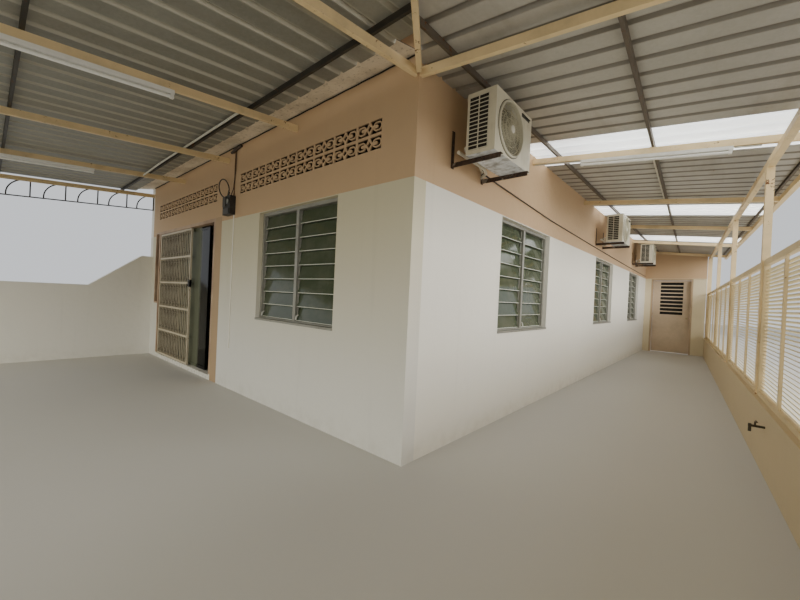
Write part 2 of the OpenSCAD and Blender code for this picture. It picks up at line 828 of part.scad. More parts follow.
// Slats that lean outwards, let in between the mullions at the posts
module fence_slats() {
    z0 = dwarf_h + rail_t;
    n = floor((rail_z - 50 - z0) / slat_p);
    color("#d9d6c8") fence_frame() for (b = fence_bays, j = [0:n - 1])
        translate([rail_in + 29, b[0] + rail_t, z0 + (j + 0.5) * slat_p])
            rotate([0, 30, 0]) translate([-10, 0, -1]) cube([20, b[1] - b[0] - 2 * rail_t, 2]);
}

// Plans of the three slopes
front_slope = [[eave, -eave], [-ridge_y, ridge_y], [-party_x, ridge_y], [-party_x, -eave]];
rear_slope = [for (p = front_slope) [p[0], side_len - p[1]]];
side_slope = [[eave, -eave], [eave, side_len + eave], [-ridge_y, ridge_y]];

// The three slopes: children are drawn with X along the eave, Y up the slope and Z off the underside
module on_front_slope() { translate([-party_x, 0, wall_h]) rotate([roof_pitch, 0, 0]) children(); }
module on_rear_slope() { translate([eave, side_len, wall_h]) rotate([0, 0, 180]) rotate([roof_pitch, 0, 0]) children(); }
module on_side_slope() { translate([0, -eave, wall_h]) rotate([0, 0, 90]) rotate([roof_pitch, 0, 0]) children(); }

// A layer of thickness t on a slope, from d off its underside
module slope_layer(d, t) { translate([-big / 2, -big / 2, d]) cube([big, big, t]); }

// Tiled slopes as one hipped slab, cut plain at the party wall
module roof_slopes() {
    color("#8a6a55") {
        intersection() { on_front_slope() slope_layer(0, tile_d); column(front_slope); }
        intersection() { on_rear_slope() slope_layer(0, tile_d); column(rear_slope); }
        intersection() { on_side_slope() slope_layer(0, tile_d); column(side_slope); }
    }
}

// Round tiles along the ridge and the two hips
module roof_caps() {
    axis_z = wall_h + ridge_y * roof_fall + tile_d / cos(roof_pitch) - ridge_r / 3;
    hip = atan(roof_fall / sqrt(2));
    past = 70;
    color("#7d5e4b") intersection() {
        union() {
            for (m = [0, 1]) translate([0, m * side_len, 0]) mirror([0, m, 0]) difference() {
                translate([-ridge_y, ridge_y, axis_z]) rotate([0, 0, -45]) rotate([0, 90 + hip, 0])
                    translate([0, 0, past]) cylinder(r = ridge_r, h = (ridge_y + eave) * sqrt(2) / cos(hip));
                intersection() {
                    on_front_slope() slope_layer(tile_d - big, big);
                    on_side_slope() slope_layer(tile_d - big, big);
                }
            }
            difference() {
                translate([-party_x, ridge_y, axis_z]) rotate([0, 90, 0])
                    cylinder(r = ridge_r + 6, h = party_x - ridge_y + past);
                intersection() {
                    on_front_slope() slope_layer(tile_d - big, big);
                    on_rear_slope() slope_layer(tile_d - big, big);
                    on_side_slope() slope_layer(tile_d - big, big);
                }
            }
        }
        translate([-party_x, -eave, 0]) cube([party_x + eave, side_len + 2 * eave, big / 2]);
    }
}

// Boards round the eaves, under the sheets
module eaves_boards() {
    set_in = 15;
    board = 20;
    depth = 60;
    out = eave - set_in;
    color("#b9b3a6") difference() {
        translate([-party_x, -out, wall_h - eave * roof_fall - depth]) cube([party_x + out, side_len + 2 * out, 3 * depth]);
        translate([-party_x - 1, -out + board, 0]) cube([party_x + 1 + out - board, side_len + 2 * (out - board), big / 4]);
        on_front_slope() slope_layer(0, big / 4);
        on_rear_slope() slope_layer(0, big / 4);
        on_side_slope() slope_layer(0, big / 4);
    }
}

// One outdoor unit: the fan side faces +X and the slotted end faces the front
module unit_case() {
    skin = 5;
    rows = 13;
    margin = 24;
    slot_p = (unit_h - 2 * margin) / rows;
    color("#d7d4ca") difference() {
        cube([unit_d, unit_w, unit_h]);
        translate([skin, skin, skin]) cube([unit_d - 2 * skin, unit_w - 2 * skin, unit_h - 2 * skin]);
        translate([unit_d - skin - 1, unit_w * 0.4, unit_h / 2]) rotate([0, 90, 0]) cylinder(r = fan_r, h = skin + 2);
        for (c = [0.1, 0.45], i = [0:rows - 1]) translate([c * unit_d, -1, margin + (i + 0.19) * slot_p])
            cube([0.29 * unit_d, skin + 2, slot_p * 0.62]);
    }
}

module outdoor_units() { for (y = units) translate([unit_x, y, unit_foot]) unit_case(); }

// Round guards set into the fan openings: three rings, a hub and eight spokes that reach the case
module unit_guards() {
    ring = 4;
    spoke = 2 * fan_r - 0.2;
    color("#4a4a48") for (y = units) translate([unit_front - 7, y + unit_w * 0.4, unit_foot + unit_h / 2])
        rotate([0, 90, 0]) {
            for (k = [0.9, 0.66, 0.42]) difference() {
                cylinder(r = fan_r * k, h = 8);
                translate([0, 0, -1]) cylinder(r = fan_r * k - ring, h = 10);
            }
            cylinder(r = 34, h = 8);
            for (a = [0:45:179]) rotate([0, 0, a]) translate([-spoke / 2, -2, 2]) cube([spoke, 4, 4]);
        }
}

// Angle brackets: a leg against the wall and an arm under the case at either end of each unit
module unit_brackets() {
    leg = 4;
    arm = 38;
    up = unit_h * 0.57;
    len = unit_front + 12;
    color("#54402f") for (y = units, f = [0.14, 0.91]) translate([0, y + f * unit_w - arm / 2, unit_foot - arm]) {
        cube([leg, arm, arm + up]);
        translate([leg, 0, arm - leg]) cube([len, arm, leg]);
        translate([leg, 0, 0]) cube([len, leg, arm - leg]);
    }
}

// Meter box with the pipe from below and the pipe up to the soffit
module meter_box() {
    conduit_foot = 500;
    thin = 6;
    color("#26231f") {
        translate([-meter_x - meter_w, -meter_d, meter_z]) cube([meter_w, meter_d, meter_h]);
        translate([-meter_x - 20, -thin, conduit_foot]) cylinder(r = thin, h = meter_z + 1 - conduit_foot);
        translate([-meter_x - 40, -thin, meter_z + meter_h - 1])
            cylinder(r = thin, h = flash_z - 14 - meter_z - meter_h);
    }
}

// Battens hung under two front rafters and one side rafter
module light_battens() {
    w = 60;
    front_out = 1095;
    side_out = 520;
    z = rafter_z - batten_d;
    color("#e8e8e2") {
        for (i = [1, 3]) intersection() {
            front_layer(z, batten_d);
            translate([-5 - i * front_rafter_p - (rafter_w + w) / 2, -front_out - batten_l, 0]) cube([w, batten_l, big]);
        }
        intersection() {
            side_layer(z, batten_d);
            translate([side_out, 5 + side_rafter_p + (rafter_w - w) / 2, 0]) cube([batten_l, w, big]);
        }
    }
}

module garden_tap() {
    color("#4a3f28") fence_frame() translate([0, tap_y, tap_z]) {
        rotate([0, -90, 0]) cylinder(r = 9, h = 95);
        translate([-85, 0, -45]) cylinder(r = 10, h = 60);
        translate([-55, 0, 0]) cylinder(r = 6, h = 34);
        translate([-55, -26, 32]) cube([12, 52, 6]);
    }
}

floor_slab();
front_wall();
front_wall_end();
front_wall_over_door();
side_wall();
rear_wall();
party_wall();
porch_wall();
end_wall_sides();
end_wall_over_door();
vent_blocks();
front_window_frame();
front_window_blades();
side_window_frames();
side_window_blades();
rear_window_frames();
rear_window_blades();
door_frame();
fixed_grille();
sliding_grille();
fixed_glass();
sliding_glass_leaf();
passage_door_frame();
passage_door();
awning_rafters();
party_truss();
front_purlins();
side_purlins();
front_sheets();
side_sheets();
clear_sheets();
wall_flashing();
awning_beams();
awning_posts();
fence_wall();
fence_rails();
fence_slats();
roof_slopes();
roof_caps();
eaves_boards();
outdoor_units();
unit_guards();
unit_brackets();
meter_box();
light_battens();
garden_tap();
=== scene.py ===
"""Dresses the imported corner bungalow: paint, glass, metal, tiles, fittings and the studio it stands in."""
import math

import bmesh
import bpy
from mathutils import Matrix, Vector


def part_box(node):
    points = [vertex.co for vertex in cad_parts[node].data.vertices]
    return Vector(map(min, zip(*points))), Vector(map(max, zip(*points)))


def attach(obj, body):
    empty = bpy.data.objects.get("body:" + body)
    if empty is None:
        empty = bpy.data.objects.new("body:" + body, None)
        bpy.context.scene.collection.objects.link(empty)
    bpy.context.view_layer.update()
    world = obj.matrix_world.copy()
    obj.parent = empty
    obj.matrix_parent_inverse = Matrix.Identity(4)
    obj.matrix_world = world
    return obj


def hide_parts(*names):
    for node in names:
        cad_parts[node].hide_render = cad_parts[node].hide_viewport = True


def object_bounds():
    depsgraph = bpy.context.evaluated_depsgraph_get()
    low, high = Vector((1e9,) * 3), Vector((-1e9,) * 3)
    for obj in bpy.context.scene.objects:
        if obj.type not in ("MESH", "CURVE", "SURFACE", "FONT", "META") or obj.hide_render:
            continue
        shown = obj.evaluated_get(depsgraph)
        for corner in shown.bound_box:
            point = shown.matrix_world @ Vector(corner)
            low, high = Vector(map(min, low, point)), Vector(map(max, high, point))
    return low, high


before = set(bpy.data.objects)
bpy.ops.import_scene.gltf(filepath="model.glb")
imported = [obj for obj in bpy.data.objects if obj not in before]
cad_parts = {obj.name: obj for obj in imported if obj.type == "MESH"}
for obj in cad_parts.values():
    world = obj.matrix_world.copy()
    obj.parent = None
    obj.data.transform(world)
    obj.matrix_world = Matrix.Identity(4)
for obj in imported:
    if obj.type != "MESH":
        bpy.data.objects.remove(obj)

bl_info = {
    "name": "Corner Bungalow",
    "version": (1, 0, 0),
    "blender": (4, 5, 0),
    "location": "3D Viewport > Sidebar > Bungalow",
    "description": "Finishes and fittings of a single-storey corner bungalow",
    "category": "Object",
}

CAD_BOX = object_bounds()
HOUSE = "house"

# Louvre windows: blades in a bay, the width of a bay, the bar between two bays, and where each window starts
BLADES = 8
BAY = 0.6305
MULLION = 0.046
WINDOW_STARTS = {
    "front_window_blades": (-2.204,),
    "side_window_blades": (1.454, 5.174, 8.344),
    "rear_window_blades": (-2.2410, -5.0410),
}

# Outdoor units: the near side of each along the wall, and the width of one
UNIT_STARTS = (0.383, 4.98, 8.492)
UNIT_WIDE = 0.64

# Awning: how steeply each slope falls, and the heights of its rafters' and sheets' undersides at the wall
FRONT_FALL = math.tan(math.radians(4.7))
SIDE_FALL = math.tan(math.radians(6.4))
RAFTER_FOOT = 2.83
SHEET_FOOT = 2.93

# Ribs of the sheets: the distance from one to the next, and the place of one of them on each slope
RIB_PITCH = 0.19
FRONT_RIB = -6.246
SIDE_RIB = 1.78


def rgb(code):
    """The linear colour, with alpha, of a six-digit screen colour."""
    parts = [int(code[i:i + 2], 16) / 255 for i in (0, 2, 4)]
    return [((c + 0.055) / 1.055) ** 2.4 if c > 0.04045 else c / 12.92 for c in parts] + [1.0]


class Val:
    """A socket of a finish's nodes, on which Python expressions add their Math nodes."""

    def __init__(self, finish, socket):
        self.finish = finish
        self.socket = socket

    def math(self, operation, first, second=None):
        values = {0: first} if second is None else {0: first, 1: second}
        return self.finish.node("ShaderNodeMath", values, operation=operation)

    def __add__(self, other):
        return self.math("ADD", self, other)

    def __radd__(self, other):
        return self.math("ADD", other, self)

    def __sub__(self, other):
        return self.math("SUBTRACT", self, other)

    def __rsub__(self, other):
        return self.math("SUBTRACT", other, self)

    def __mul__(self, other):
        return self.math("MULTIPLY", self, other)

    def __rmul__(self, other):
        return self.math("MULTIPLY", other, self)

    def __truediv__(self, other):
        return self.math("DIVIDE", self, other)

    def __gt__(self, other):
        return self.math("GREATER_THAN", self, other)

    def __lt__(self, other):
        return self.math("LESS_THAN", self, other)

    def span(self, low, high):
        """0 below low and 1 above high, or the other way round, with a smooth step between."""
        return self.finish.node(
            "ShaderNodeMapRange", {"Value": self, "From Min": low, "From Max": high},
            interpolation_type="SMOOTHSTEP")


class Finish:
    """One material: its nodes, its main shader and the object coordinates that its patterns use."""

    def __init__(self, name, roughness=0.6, metallic=0.0, **constants):
        self.material = bpy.data.materials.new(name)
        self.material.use_nodes = True
        self.tree = self.material.node_tree
        self.shader = self.tree.nodes["Principled BSDF"]
        self.shader.inputs["Roughness"].default_value = roughness
        self.shader.inputs["Metallic"].default_value = metallic
        for socket, value in constants.items():
            self.shader.inputs[socket.replace("_", " ")].default_value = value
        self.place = self.node("ShaderNodeTexCoord", out="Object")
        parts = self.node("ShaderNodeSeparateXYZ", {0: self.place}).socket.node
        self.x, self.y, self.z = (Val(self, s) for s in parts.outputs)

    def node(self, kind, sockets=None, out=0, **settings):
        """Adds a node, makes its settings, fills or links its sockets and gives one output."""
        made = self.tree.nodes.new(kind)
        for name, value in settings.items():
            setattr(made, name, value)
        for key, value in (sockets or {}).items():
            if isinstance(value, Val):
                self.tree.links.new(value.socket, made.inputs[key])
            else:
                made.inputs[key].default_value = value
        return Val(self, made.outputs[out])

    def noise(self, scale, detail=3.0, stretch=(1, 1, 1), shift=0.0, roughness=0.5):
        at = self.node("ShaderNodeMapping",
                       {"Vector": self.place, "Scale": stretch, "Location": (shift, shift, shift)})
        return self.node("ShaderNodeTexNoise", {
            "Vector": at, "Scale": scale, "Detail": detail, "Roughness": roughness}, out="Fac")

    def mix(self, first, second, amount):
        """A colour between two others."""
        return self.node("ShaderNodeMix", {0: amount, 6: first, 7: second}, out=2, data_type="RGBA")

    def shade(self, colour, amount):
        """A colour multiplied by a number."""
        return self.node("ShaderNodeMix", {
            0: 1.0, 6: colour, 7: self.node("ShaderNodeCombineColor", {0: amount, 1: amount, 2: amount})},
            out=2, data_type="RGBA", blend_type="MULTIPLY")

    def feed(self, **sockets):
        """Links what varies over the surface to the main shader."""
        for name, value in sockets.items():
            self.tree.links.new(value.socket, self.shader.inputs[name.replace("_", " ")])

    def math(self, operation, value):
        return self.node("ShaderNodeMath", {0: value}, operation=operation)

    def bump(self, height, distance, strength=1.0):
        self.feed(Normal=self.node("ShaderNodeBump", {
            "Height": height, "Distance": distance, "Strength": strength}))


def wall_finish(name, low, high, split, painted_shade_depth=0.0, strip=None, painted_light_tint=0.0):
    """Rendered and painted masonry: two paints that meet at a straight line, with damp and dirt.

    soot is the depth in y at which the painted shade in the holes of pierced blocks is full, strip is a
    band of x that has a third paint, and aged says how strongly painted light tints the lower paint: a
    painted grey shade over all of it and a painted warm light that grows towards its top.
    """
    f = Finish(name, roughness=0.78)
    blotch = f.noise(0.9, 5, shift=3.0, roughness=0.6)
    streak = f.noise(3.2, 4, stretch=(2.2, 2.2, 0.12), roughness=0.65)
    fine = f.noise(70, 3, roughness=0.6)
    # painted light on the lower paint: a grey painted shade over all of it and a warm painted light towards
    # its top
    cream = f.mix(rgb(low), rgb("c9cdd0"), 0.6 * painted_light_tint)
    cream = f.mix(cream, rgb("c3b57f"), painted_light_tint * (f.z + 0.3 * blotch).span(0.3, 2.3))
    colour = f.mix(cream, rgb(high), f.z > split)
    if strip:
        colour = f.mix(colour, rgb("b59a7a"), (f.x > strip[0]) * (f.x < strip[1]) * (f.z < 2.171))
    colour = f.shade(colour, 0.955 + 0.06 * blotch + 0.03 * fine - 0.05 * streak.span(0.55, 0.8))
    splash = (f.z - 0.14 * f.noise(5, 4, shift=7.0)).span(0.16, -0.06) * f.noise(9, 4).span(0.3, 0.75)
    colour = f.mix(colour, rgb("a79f8c"), 0.16 * splash)
    # painted shade that darkens the holes of pierced blocks deeper in y
    if painted_shade_depth:
        colour = f.mix(colour, rgb("16120d"), f.y.span(0.004, painted_shade_depth))
    f.feed(Base_Color=colour, Roughness=0.72 + 0.16 * fine)
    grain = f.noise(160, 3, roughness=0.7)
    f.bump(0.6 * grain + 2.4 * f.noise(9, 2, shift=1.0), 0.0022, 0.55)
    return f


def painted_steel(name, paint, rust="6d4226", spread=0.62, grime=0.22):
    """Painted steel: slightly uneven paint with dirt in patches and rust where it has worn through."""
    f = Finish(name, roughness=0.5)
    patch = f.noise(2.4, 5, roughness=0.6)
    worn = f.noise(34, 5, shift=5.0, roughness=0.68)
    spots = (worn * 0.62 + 0.38 * f.noise(6, 3, shift=9.0)).span(spread, spread + 0.05)
    colour = f.shade(rgb(paint), 0.94 + 0.1 * f.noise(11, 4))
    colour = f.mix(colour, rgb("6a6253"), grime * patch.span(0.45, 0.75))
    colour = f.mix(colour, rgb(rust), spots)
    f.feed(Base_Color=colour, Roughness=0.5 + 0.35 * spots + 0.12 * patch)
    f.bump(f.noise(120, 3) * 0.4 + spots, 0.0009, 0.5)
    return f


def bare_metal(name, colour, roughness, metallic=0.9, dull="77756c"):
    """Mill-finish metal with faint drawing lines and a dull film."""
    f = Finish(name, roughness=roughness, metallic=metallic)
    lines = f.noise(60, 3, stretch=(1, 1, 14))
    film = f.noise(3.5, 5, roughness=0.65)
    shaded = f.shade(rgb(colour), 0.92 + 0.12 * lines)
    f.feed(Base_Color=f.mix(shaded, rgb(dull), 0.45 * film.span(0.42, 0.72)),
           Roughness=roughness + 0.12 * lines + 0.2 * film.span(0.4, 0.75))
    f.bump(lines, 0.0004, 0.4)
    return f


def glass_finish(name, colour, alpha, film, smear, roughness=0.06):
    """Tinted glass, darkened as painted shade of the rooms behind it, with a thin uneven film of dust."""
    f = Finish(name, roughness=roughness, IOR=1.5, Alpha=alpha)
    dust = f.noise(4.5, 5, roughness=0.65)
    # the glass's own tint with painted shade of the rooms behind it, under dust
    tint = f.mix(rgb(colour), rgb(film), smear * dust.span(0.38, 0.72))
    f.feed(Base_Color=tint, Roughness=roughness + 0.16 * dust.span(0.4, 0.8))
    return f


def plastic_finish(name, colour, roughness=0.42, dirt="8a7f68", grime=0.3, under=None):
    """Moulded or enamelled sheet, a little yellow and dusty; under is its colour on the underside."""
    f = Finish(name, roughness=roughness)
    patch = f.noise(5.0, 5, roughness=0.65)
    run = f.noise(16, 4, stretch=(1, 1, 0.14), shift=2.0)
    mask = (patch * 0.6 + run * 0.4).span(0.45, 0.72)
    tint = f.mix(f.shade(rgb(colour), 0.95 + 0.08 * f.noise(40, 2)), rgb(dirt), grime * mask)
    if under:
        normal = f.node("ShaderNodeNewGeometry", out="True Normal")
        up = Val(f, f.node("ShaderNodeSeparateXYZ", {0: normal}).socket.node.outputs[2])
        below = f.mix(rgb(under), rgb("8b8a86"), f.noise(16, 5, shift=6.0, roughness=0.7).span(0.4, 0.7))
        tint = f.mix(tint, below, up < -0.9)
    f.feed(Base_Color=tint, Roughness=roughness + 0.25 * mask)
    f.bump(f.noise(220, 2), 0.0002, 0.4)
    return f


def concrete_finish(name, colour="96938b"):
    """Cement screed with soft clouds and a fine grain."""
    f = Finish(name, roughness=0.85)
    cloud = f.noise(1.3, 6, roughness=0.6)
    fine = f.noise(90, 3)
    f.feed(Base_Color=f.shade(rgb(colour), 0.8 + 0.3 * cloud + 0.08 * fine), Roughness=0.78 + 0.14 * fine)
    f.bump(fine + 2 * f.noise(14, 4), 0.0015, 0.5)
    return f


def tile_finish(name, colour="8b5a43", pale="a98468", moss="4d4a3c"):
    """Weathered clay: each tile a little different, with dark growth and pale wear."""
    f = Finish(name, roughness=0.82)
    each = f.node("ShaderNodeNewGeometry", out="Random Per Island")
    growth = f.noise(1.7, 6, roughness=0.65)
    grain = f.noise(60, 4)
    tint = f.mix(rgb(colour), rgb(pale), 0.45 * each + 0.25 * grain)
    f.feed(Base_Color=f.mix(tint, rgb(moss), 0.6 * growth.span(0.5, 0.72)), Roughness=0.74 + 0.18 * grain)
    f.bump(grain + 2 * f.noise(12, 3), 0.002, 0.5)
    return f


def sheet_finish(name, pale, dark, axis, start, band, depth):
    """Old zinc-coated sheet gone dull, with runs of dirt, specks of rust and painted light along its ribs.
    """
    f = Finish(name, roughness=0.5, metallic=0.25)
    spangle = f.node("ShaderNodeTexVoronoi", {"Vector": f.place, "Scale": 60.0}, out="Color")
    grey = Val(f, f.node("ShaderNodeSeparateColor", {0: spangle}).socket)
    bloom = f.noise(1.6, 6, roughness=0.62)
    run = f.noise(5, 5, stretch=(1, 0.16, 1), shift=4.0, roughness=0.6)
    colour = f.mix(rgb(dark), rgb(pale), 0.25 * grey + 0.7 * bloom.span(0.35, 0.7))
    colour = f.mix(colour, rgb("857c6d"), 0.35 * run.span(0.5, 0.76))
    # painted light along each rib in the colour band: painted shade where it is darker than the sheet, a
    # painted highlight where it is lighter
    at = f.math("FRACT", ((f.x if axis == 0 else f.y) - start) / RIB_PITCH + 40.5) - 0.5
    colour = f.mix(colour, rgb(band), depth * f.math("ABSOLUTE", at).span(0.19, 0.1))
    rust = (f.noise(13, 6, shift=8.0, roughness=0.7) + 0.25 * run).span(0.84, 0.92)
    f.feed(Base_Color=f.mix(colour, rgb("7a4e30"), 0.7 * rust), Roughness=0.42 + 0.2 * bloom + 0.3 * rust)
    f.bump(f.noise(25, 3) + 0.3 * grey, 0.0006, 0.4)
    return f


def clear_sheet_finish(name):
    """Ribbed fibreglass that lets daylight through, with a painted glow of daylight and the grey of settled
    dust.
    """
    # painted light: the emission makes the sheet glow a pale daylight colour, though it is no lamp
    f = Finish(name, roughness=0.6, IOR=1.2, Transmission_Weight=0.85, Emission_Strength=0.6)
    f.shader.inputs["Emission Color"].default_value = (0.93, 0.95, 1.0, 1.0)
    dust = f.noise(2.2, 6, stretch=(0.2, 1, 1), roughness=0.6)
    fibre = f.noise(160, 4)
    f.feed(Base_Color=f.mix(rgb("f5f6f0"), rgb("cfcdbd"), 0.6 * dust.span(0.4, 0.75) + 0.12 * fibre))
    f.bump(fibre, 0.0005, 0.4)
    return f


def rusty_finish(name):
    """Steel rusted all over, with a few pale remains of its coat."""
    f = Finish(name, roughness=0.85)
    flake = f.noise(38, 6, roughness=0.68)
    colour = f.mix(rgb("2c211a"), rgb("55402f"), flake.span(0.35, 0.75))
    f.feed(Base_Color=f.mix(colour, rgb("857e72"), f.noise(9, 4, shift=3.0).span(0.6, 0.68)),
           Roughness=0.68 + 0.25 * flake)
    f.bump(flake, 0.0012, 0.7)
    return f


def dress(finish, *nodes):
    """Gives CAD nodes that keep their own shape a finish."""
    for name in nodes:
        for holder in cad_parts[name].material_slots:
            holder.material = finish.material


class Shape:
    """Closed solids gathered into one mesh."""

    def __init__(self):
        self.points = []
        self.faces = []

    def skin(self, rings, loop=False):
        """Joins rings of as many points each, and closes both ends unless the rings run in a loop."""
        first = len(self.points)
        n = len(rings[0])
        for ring in rings:
            self.points += [tuple(p) for p in ring]
        count = len(rings)
        for i in range(count if loop else count - 1):
            a = first + i * n
            b = first + (i + 1) % count * n
            self.faces += [(a + j, a + (j + 1) % n, b + (j + 1) % n, b + j) for j in range(n)]
        if not loop:
            self.faces.append(tuple(range(first + n - 1, first - 1, -1)))
            self.faces.append(tuple(range(first + (count - 1) * n, first + count * n)))

    def box(self, low, high):
        (x0, y0, z0), (x1, y1, z1) = low, high
        self.skin([[(x0, y0, z), (x1, y0, z), (x1, y1, z), (x0, y1, z)] for z in (z0, z1)])

    def tube(self, path, radius, sides=8):
        """A round bar along a path."""
        path = [Vector(p) for p in path]
        count = len(path)
        rings = []
        across = None
        for i, p in enumerate(path):
            way = (path[min(i + 1, count - 1)] - path[max(i - 1, 0)]).normalized()
            if across is None:
                across = way.orthogonal().normalized()
            across = (across - way * across.dot(way)).normalized()
            over = way.cross(across)
            rings.append([p + radius * (math.cos(a) * across + math.sin(a) * over)
                          for a in (math.tau * k / sides for k in range(sides))])
        self.skin(rings)

    def turned(self, profile, centre, axis, sides=24, loop=False):
        """A solid turned round an axis: profile gives pairs of radius and distance along the axis."""
        axis = Vector(axis).normalized()
        across = axis.orthogonal().normalized()
        over = axis.cross(across)
        turns = [math.tau * k / sides for k in range(sides)]
        if loop:
            self.skin([[Vector(centre) + axis * h + r * (math.cos(a) * across + math.sin(a) * over)
                        for r, h in profile] for a in turns], loop=True)
        else:
            self.skin([[Vector(centre) + axis * h + r * (math.cos(a) * across + math.sin(a) * over)
                        for a in turns] for r, h in profile])

    def wire_ring(self, centre, axis, radius, wire, sides=40):
        """A thin round ring with a four-sided section."""
        self.turned([(radius - wire, 0), (radius, -wire), (radius + wire, 0), (radius, wire)],
                    centre, axis, sides, loop=True)

    def make(self, name, finish, slot, *nodes, body=HOUSE, smooth=35, cuts=()):
        """Builds and trims the object, shades it, gives it its body and hides its CAD nodes; slot is not
        used.
        """
        mesh = bpy.data.meshes.new(name)
        mesh.from_pydata([tuple(p) for p in self.points], [], self.faces)
        bm = bmesh.new()
        bm.from_mesh(mesh)
        for point, normal in cuts:
            bmesh.ops.bisect_plane(bm, geom=bm.verts[:] + bm.edges[:] + bm.faces[:], dist=1e-5,
                                   plane_co=point, plane_no=normal, clear_outer=True)
            open_edges = [e for e in bm.edges if e.is_boundary]
            bmesh.ops.holes_fill(bm, edges=open_edges, sides=0)
        bmesh.ops.recalc_face_normals(bm, faces=bm.faces[:])
        bm.to_mesh(mesh)
        bm.free()
        mesh.shade_smooth()
        mesh.set_sharp_from_angle(angle=math.radians(smooth))
        mesh.materials.append(finish.material)
        made = bpy.data.objects.new(name, mesh)
        bpy.context.scene.collection.objects.link(made)
        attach(made, body)
        if nodes:
            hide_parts(*nodes)
        return made


class BungalowLook(bpy.types.PropertyGroup):
    """Colours, heights and lights that a user would change."""
    low_paint: bpy.props.StringProperty(
        name="Lower paint", description="Screen colour of the walls below the line", default="f1eee4")
    high_paint: bpy.props.StringProperty(
        name="Upper paint", description="Screen colour of the walls above the line", default="c6a884")
    frame_paint: bpy.props.StringProperty(
        name="Awning paint", description="Screen colour of the awning's rafters, beams and posts",
        default="ead1a2")
    paint_line: bpy.props.FloatProperty(
        name="Paint line", description="Height at which the two wall paints meet", default=2.108, min=1.8,
        max=2.6, unit="LENGTH")
    tile_gauge: bpy.props.FloatProperty(
        name="Tile gauge", description="Length of each roof tile that shows", default=0.345, min=0.25,
        max=0.42, unit="LENGTH")
    key_power: bpy.props.FloatProperty(
        name="Front light", description="Power of the large light before the porch", default=880.0,
        min=0.0, unit="POWER")
    side_power: bpy.props.FloatProperty(
        name="Side light", description="Power of the large light beyond the fence", default=1900.0,
        min=0.0, unit="POWER")


def look():
    return bpy.context.scene.bungalow_look


class BUNGALOW_OT_stage(bpy.types.Operator):
    """Sets the camera, the pale floor and the soft lights"""
    bl_idname = "bungalow.stage"
    bl_label = "Stage"

    def execute(self, context):
        stand = Vector((1.697, -2.035, 1.229))
        yaw, pitch, roll = (math.radians(a) for a in (41.197, -0.442, -2.658))
        focal_px, frame_px = 366.197, 800
        ahead = Vector((-math.sin(yaw) * math.cos(pitch), math.cos(yaw) * math.cos(pitch), math.sin(pitch)))
        level = Vector((math.cos(yaw), math.sin(yaw), 0))
        drop = ahead.cross(level)
        right = math.cos(roll) * level + math.sin(roll) * drop
        down = -math.sin(roll) * level + math.cos(roll) * drop
        data = bpy.data.cameras.new("eye")
        data.sensor_width = 36.0
        data.lens = data.sensor_width * focal_px / frame_px
        data.clip_start = 0.05
        data.clip_end = 400.0
        eye = bpy.data.objects.new("eye", data)
        turn = Matrix((right, -down, -ahead)).transposed().to_4x4()
        eye.matrix_world = Matrix.Translation(stand) @ turn
        context.scene.collection.objects.link(eye)
        context.scene.camera = eye

        world = bpy.data.worlds.new("studio")
        world.use_nodes = True
        back = world.node_tree.nodes["Background"]
        back.inputs["Color"].default_value = (0.93, 0.96, 1.0, 1.0)
        back.inputs["Strength"].default_value = 0.85
        context.scene.world = world

        ground = CAD_BOX[0].z
        reach = 45.0
        mesh = bpy.data.meshes.new("floor")
        mesh.from_pydata([(x, y, ground) for x, y in
                          ((-reach, -reach), (reach, -reach), (reach, reach), (-reach, reach))],
                         [], [(0, 1, 2, 3)])
        floor = bpy.data.objects.new("floor", mesh)
        context.scene.collection.objects.link(floor)
        f = Finish("floor_plain", roughness=0.75)
        f.feed(Base_Color=f.shade(rgb("c9c7c2"), 0.98 + 0.04 * f.noise(0.8, 2)))
        mesh.materials.append(f.material)

        leafy, white = (1.0, 0.95, 0.76), (1.0, 0.98, 0.95)
        for name, power, colour, place, aim, size in (
                ("front_light", look().key_power, leafy, (-1.0, -12.5, 4.6), (-1.5, 0.0, 1.2), (11.0, 6.0)),
                ("side_light", look().side_power, white, (11.0, 3.0, 5.0), (0.0, 4.0, 1.2), (12.0, 6.0)),
                ("rear_light", 500.0, white, (-3.0, 22.0, 7.0), (-2.0, 8.0, 1.5), (10.0, 6.0))):
            lamp = bpy.data.lights.new(name, "AREA")
            lamp.shape = "RECTANGLE"
            lamp.size, lamp.size_y = size
            lamp.energy = power
            lamp.color = colour
            holder = bpy.data.objects.new(name, lamp)
            holder.location = place
            holder.rotation_euler = (Vector(aim) - Vector(place)).to_track_quat("-Z", "Y").to_euler()
            holder.visible_camera = False
            context.scene.collection.objects.link(holder)
        return {"FINISHED"}


class BUNGALOW_OT_walls(bpy.types.Operator):
    """Paints the walls, the pierced blocks and the floor"""
    bl_idname = "bungalow.walls"
    bl_label = "Walls"

    def execute(self, context):
        cream, tan = look().low_paint, look().high_paint
        line = look().paint_line
        dress(wall_finish("two_paints", cream, tan, line, painted_light_tint=0.12), "side_wall", "rear_wall")
        dress(wall_finish("front_paints", cream, tan, line, strip=(-3.45, -3.22), painted_light_tint=0.62), "front_wall",
              "front_wall_end", "front_wall_over_door")
        dress(wall_finish("cream_paint", cream, cream, line, painted_light_tint=0.2), "party_wall", "porch_wall")
        dress(wall_finish("passage_end_paint", "ddcfae", tan, line), "end_wall_sides", "end_wall_over_door")
        dress(wall_finish("fence_paint", "c6b390", "c6b390", line), "fence_wall")
        dress(wall_finish("block_paint", tan, tan, line, painted_shade_depth=0.02), "vent_blocks")
        dress(concrete_finish("floor_screed"), "floor_slab")
        return {"FINISHED"}


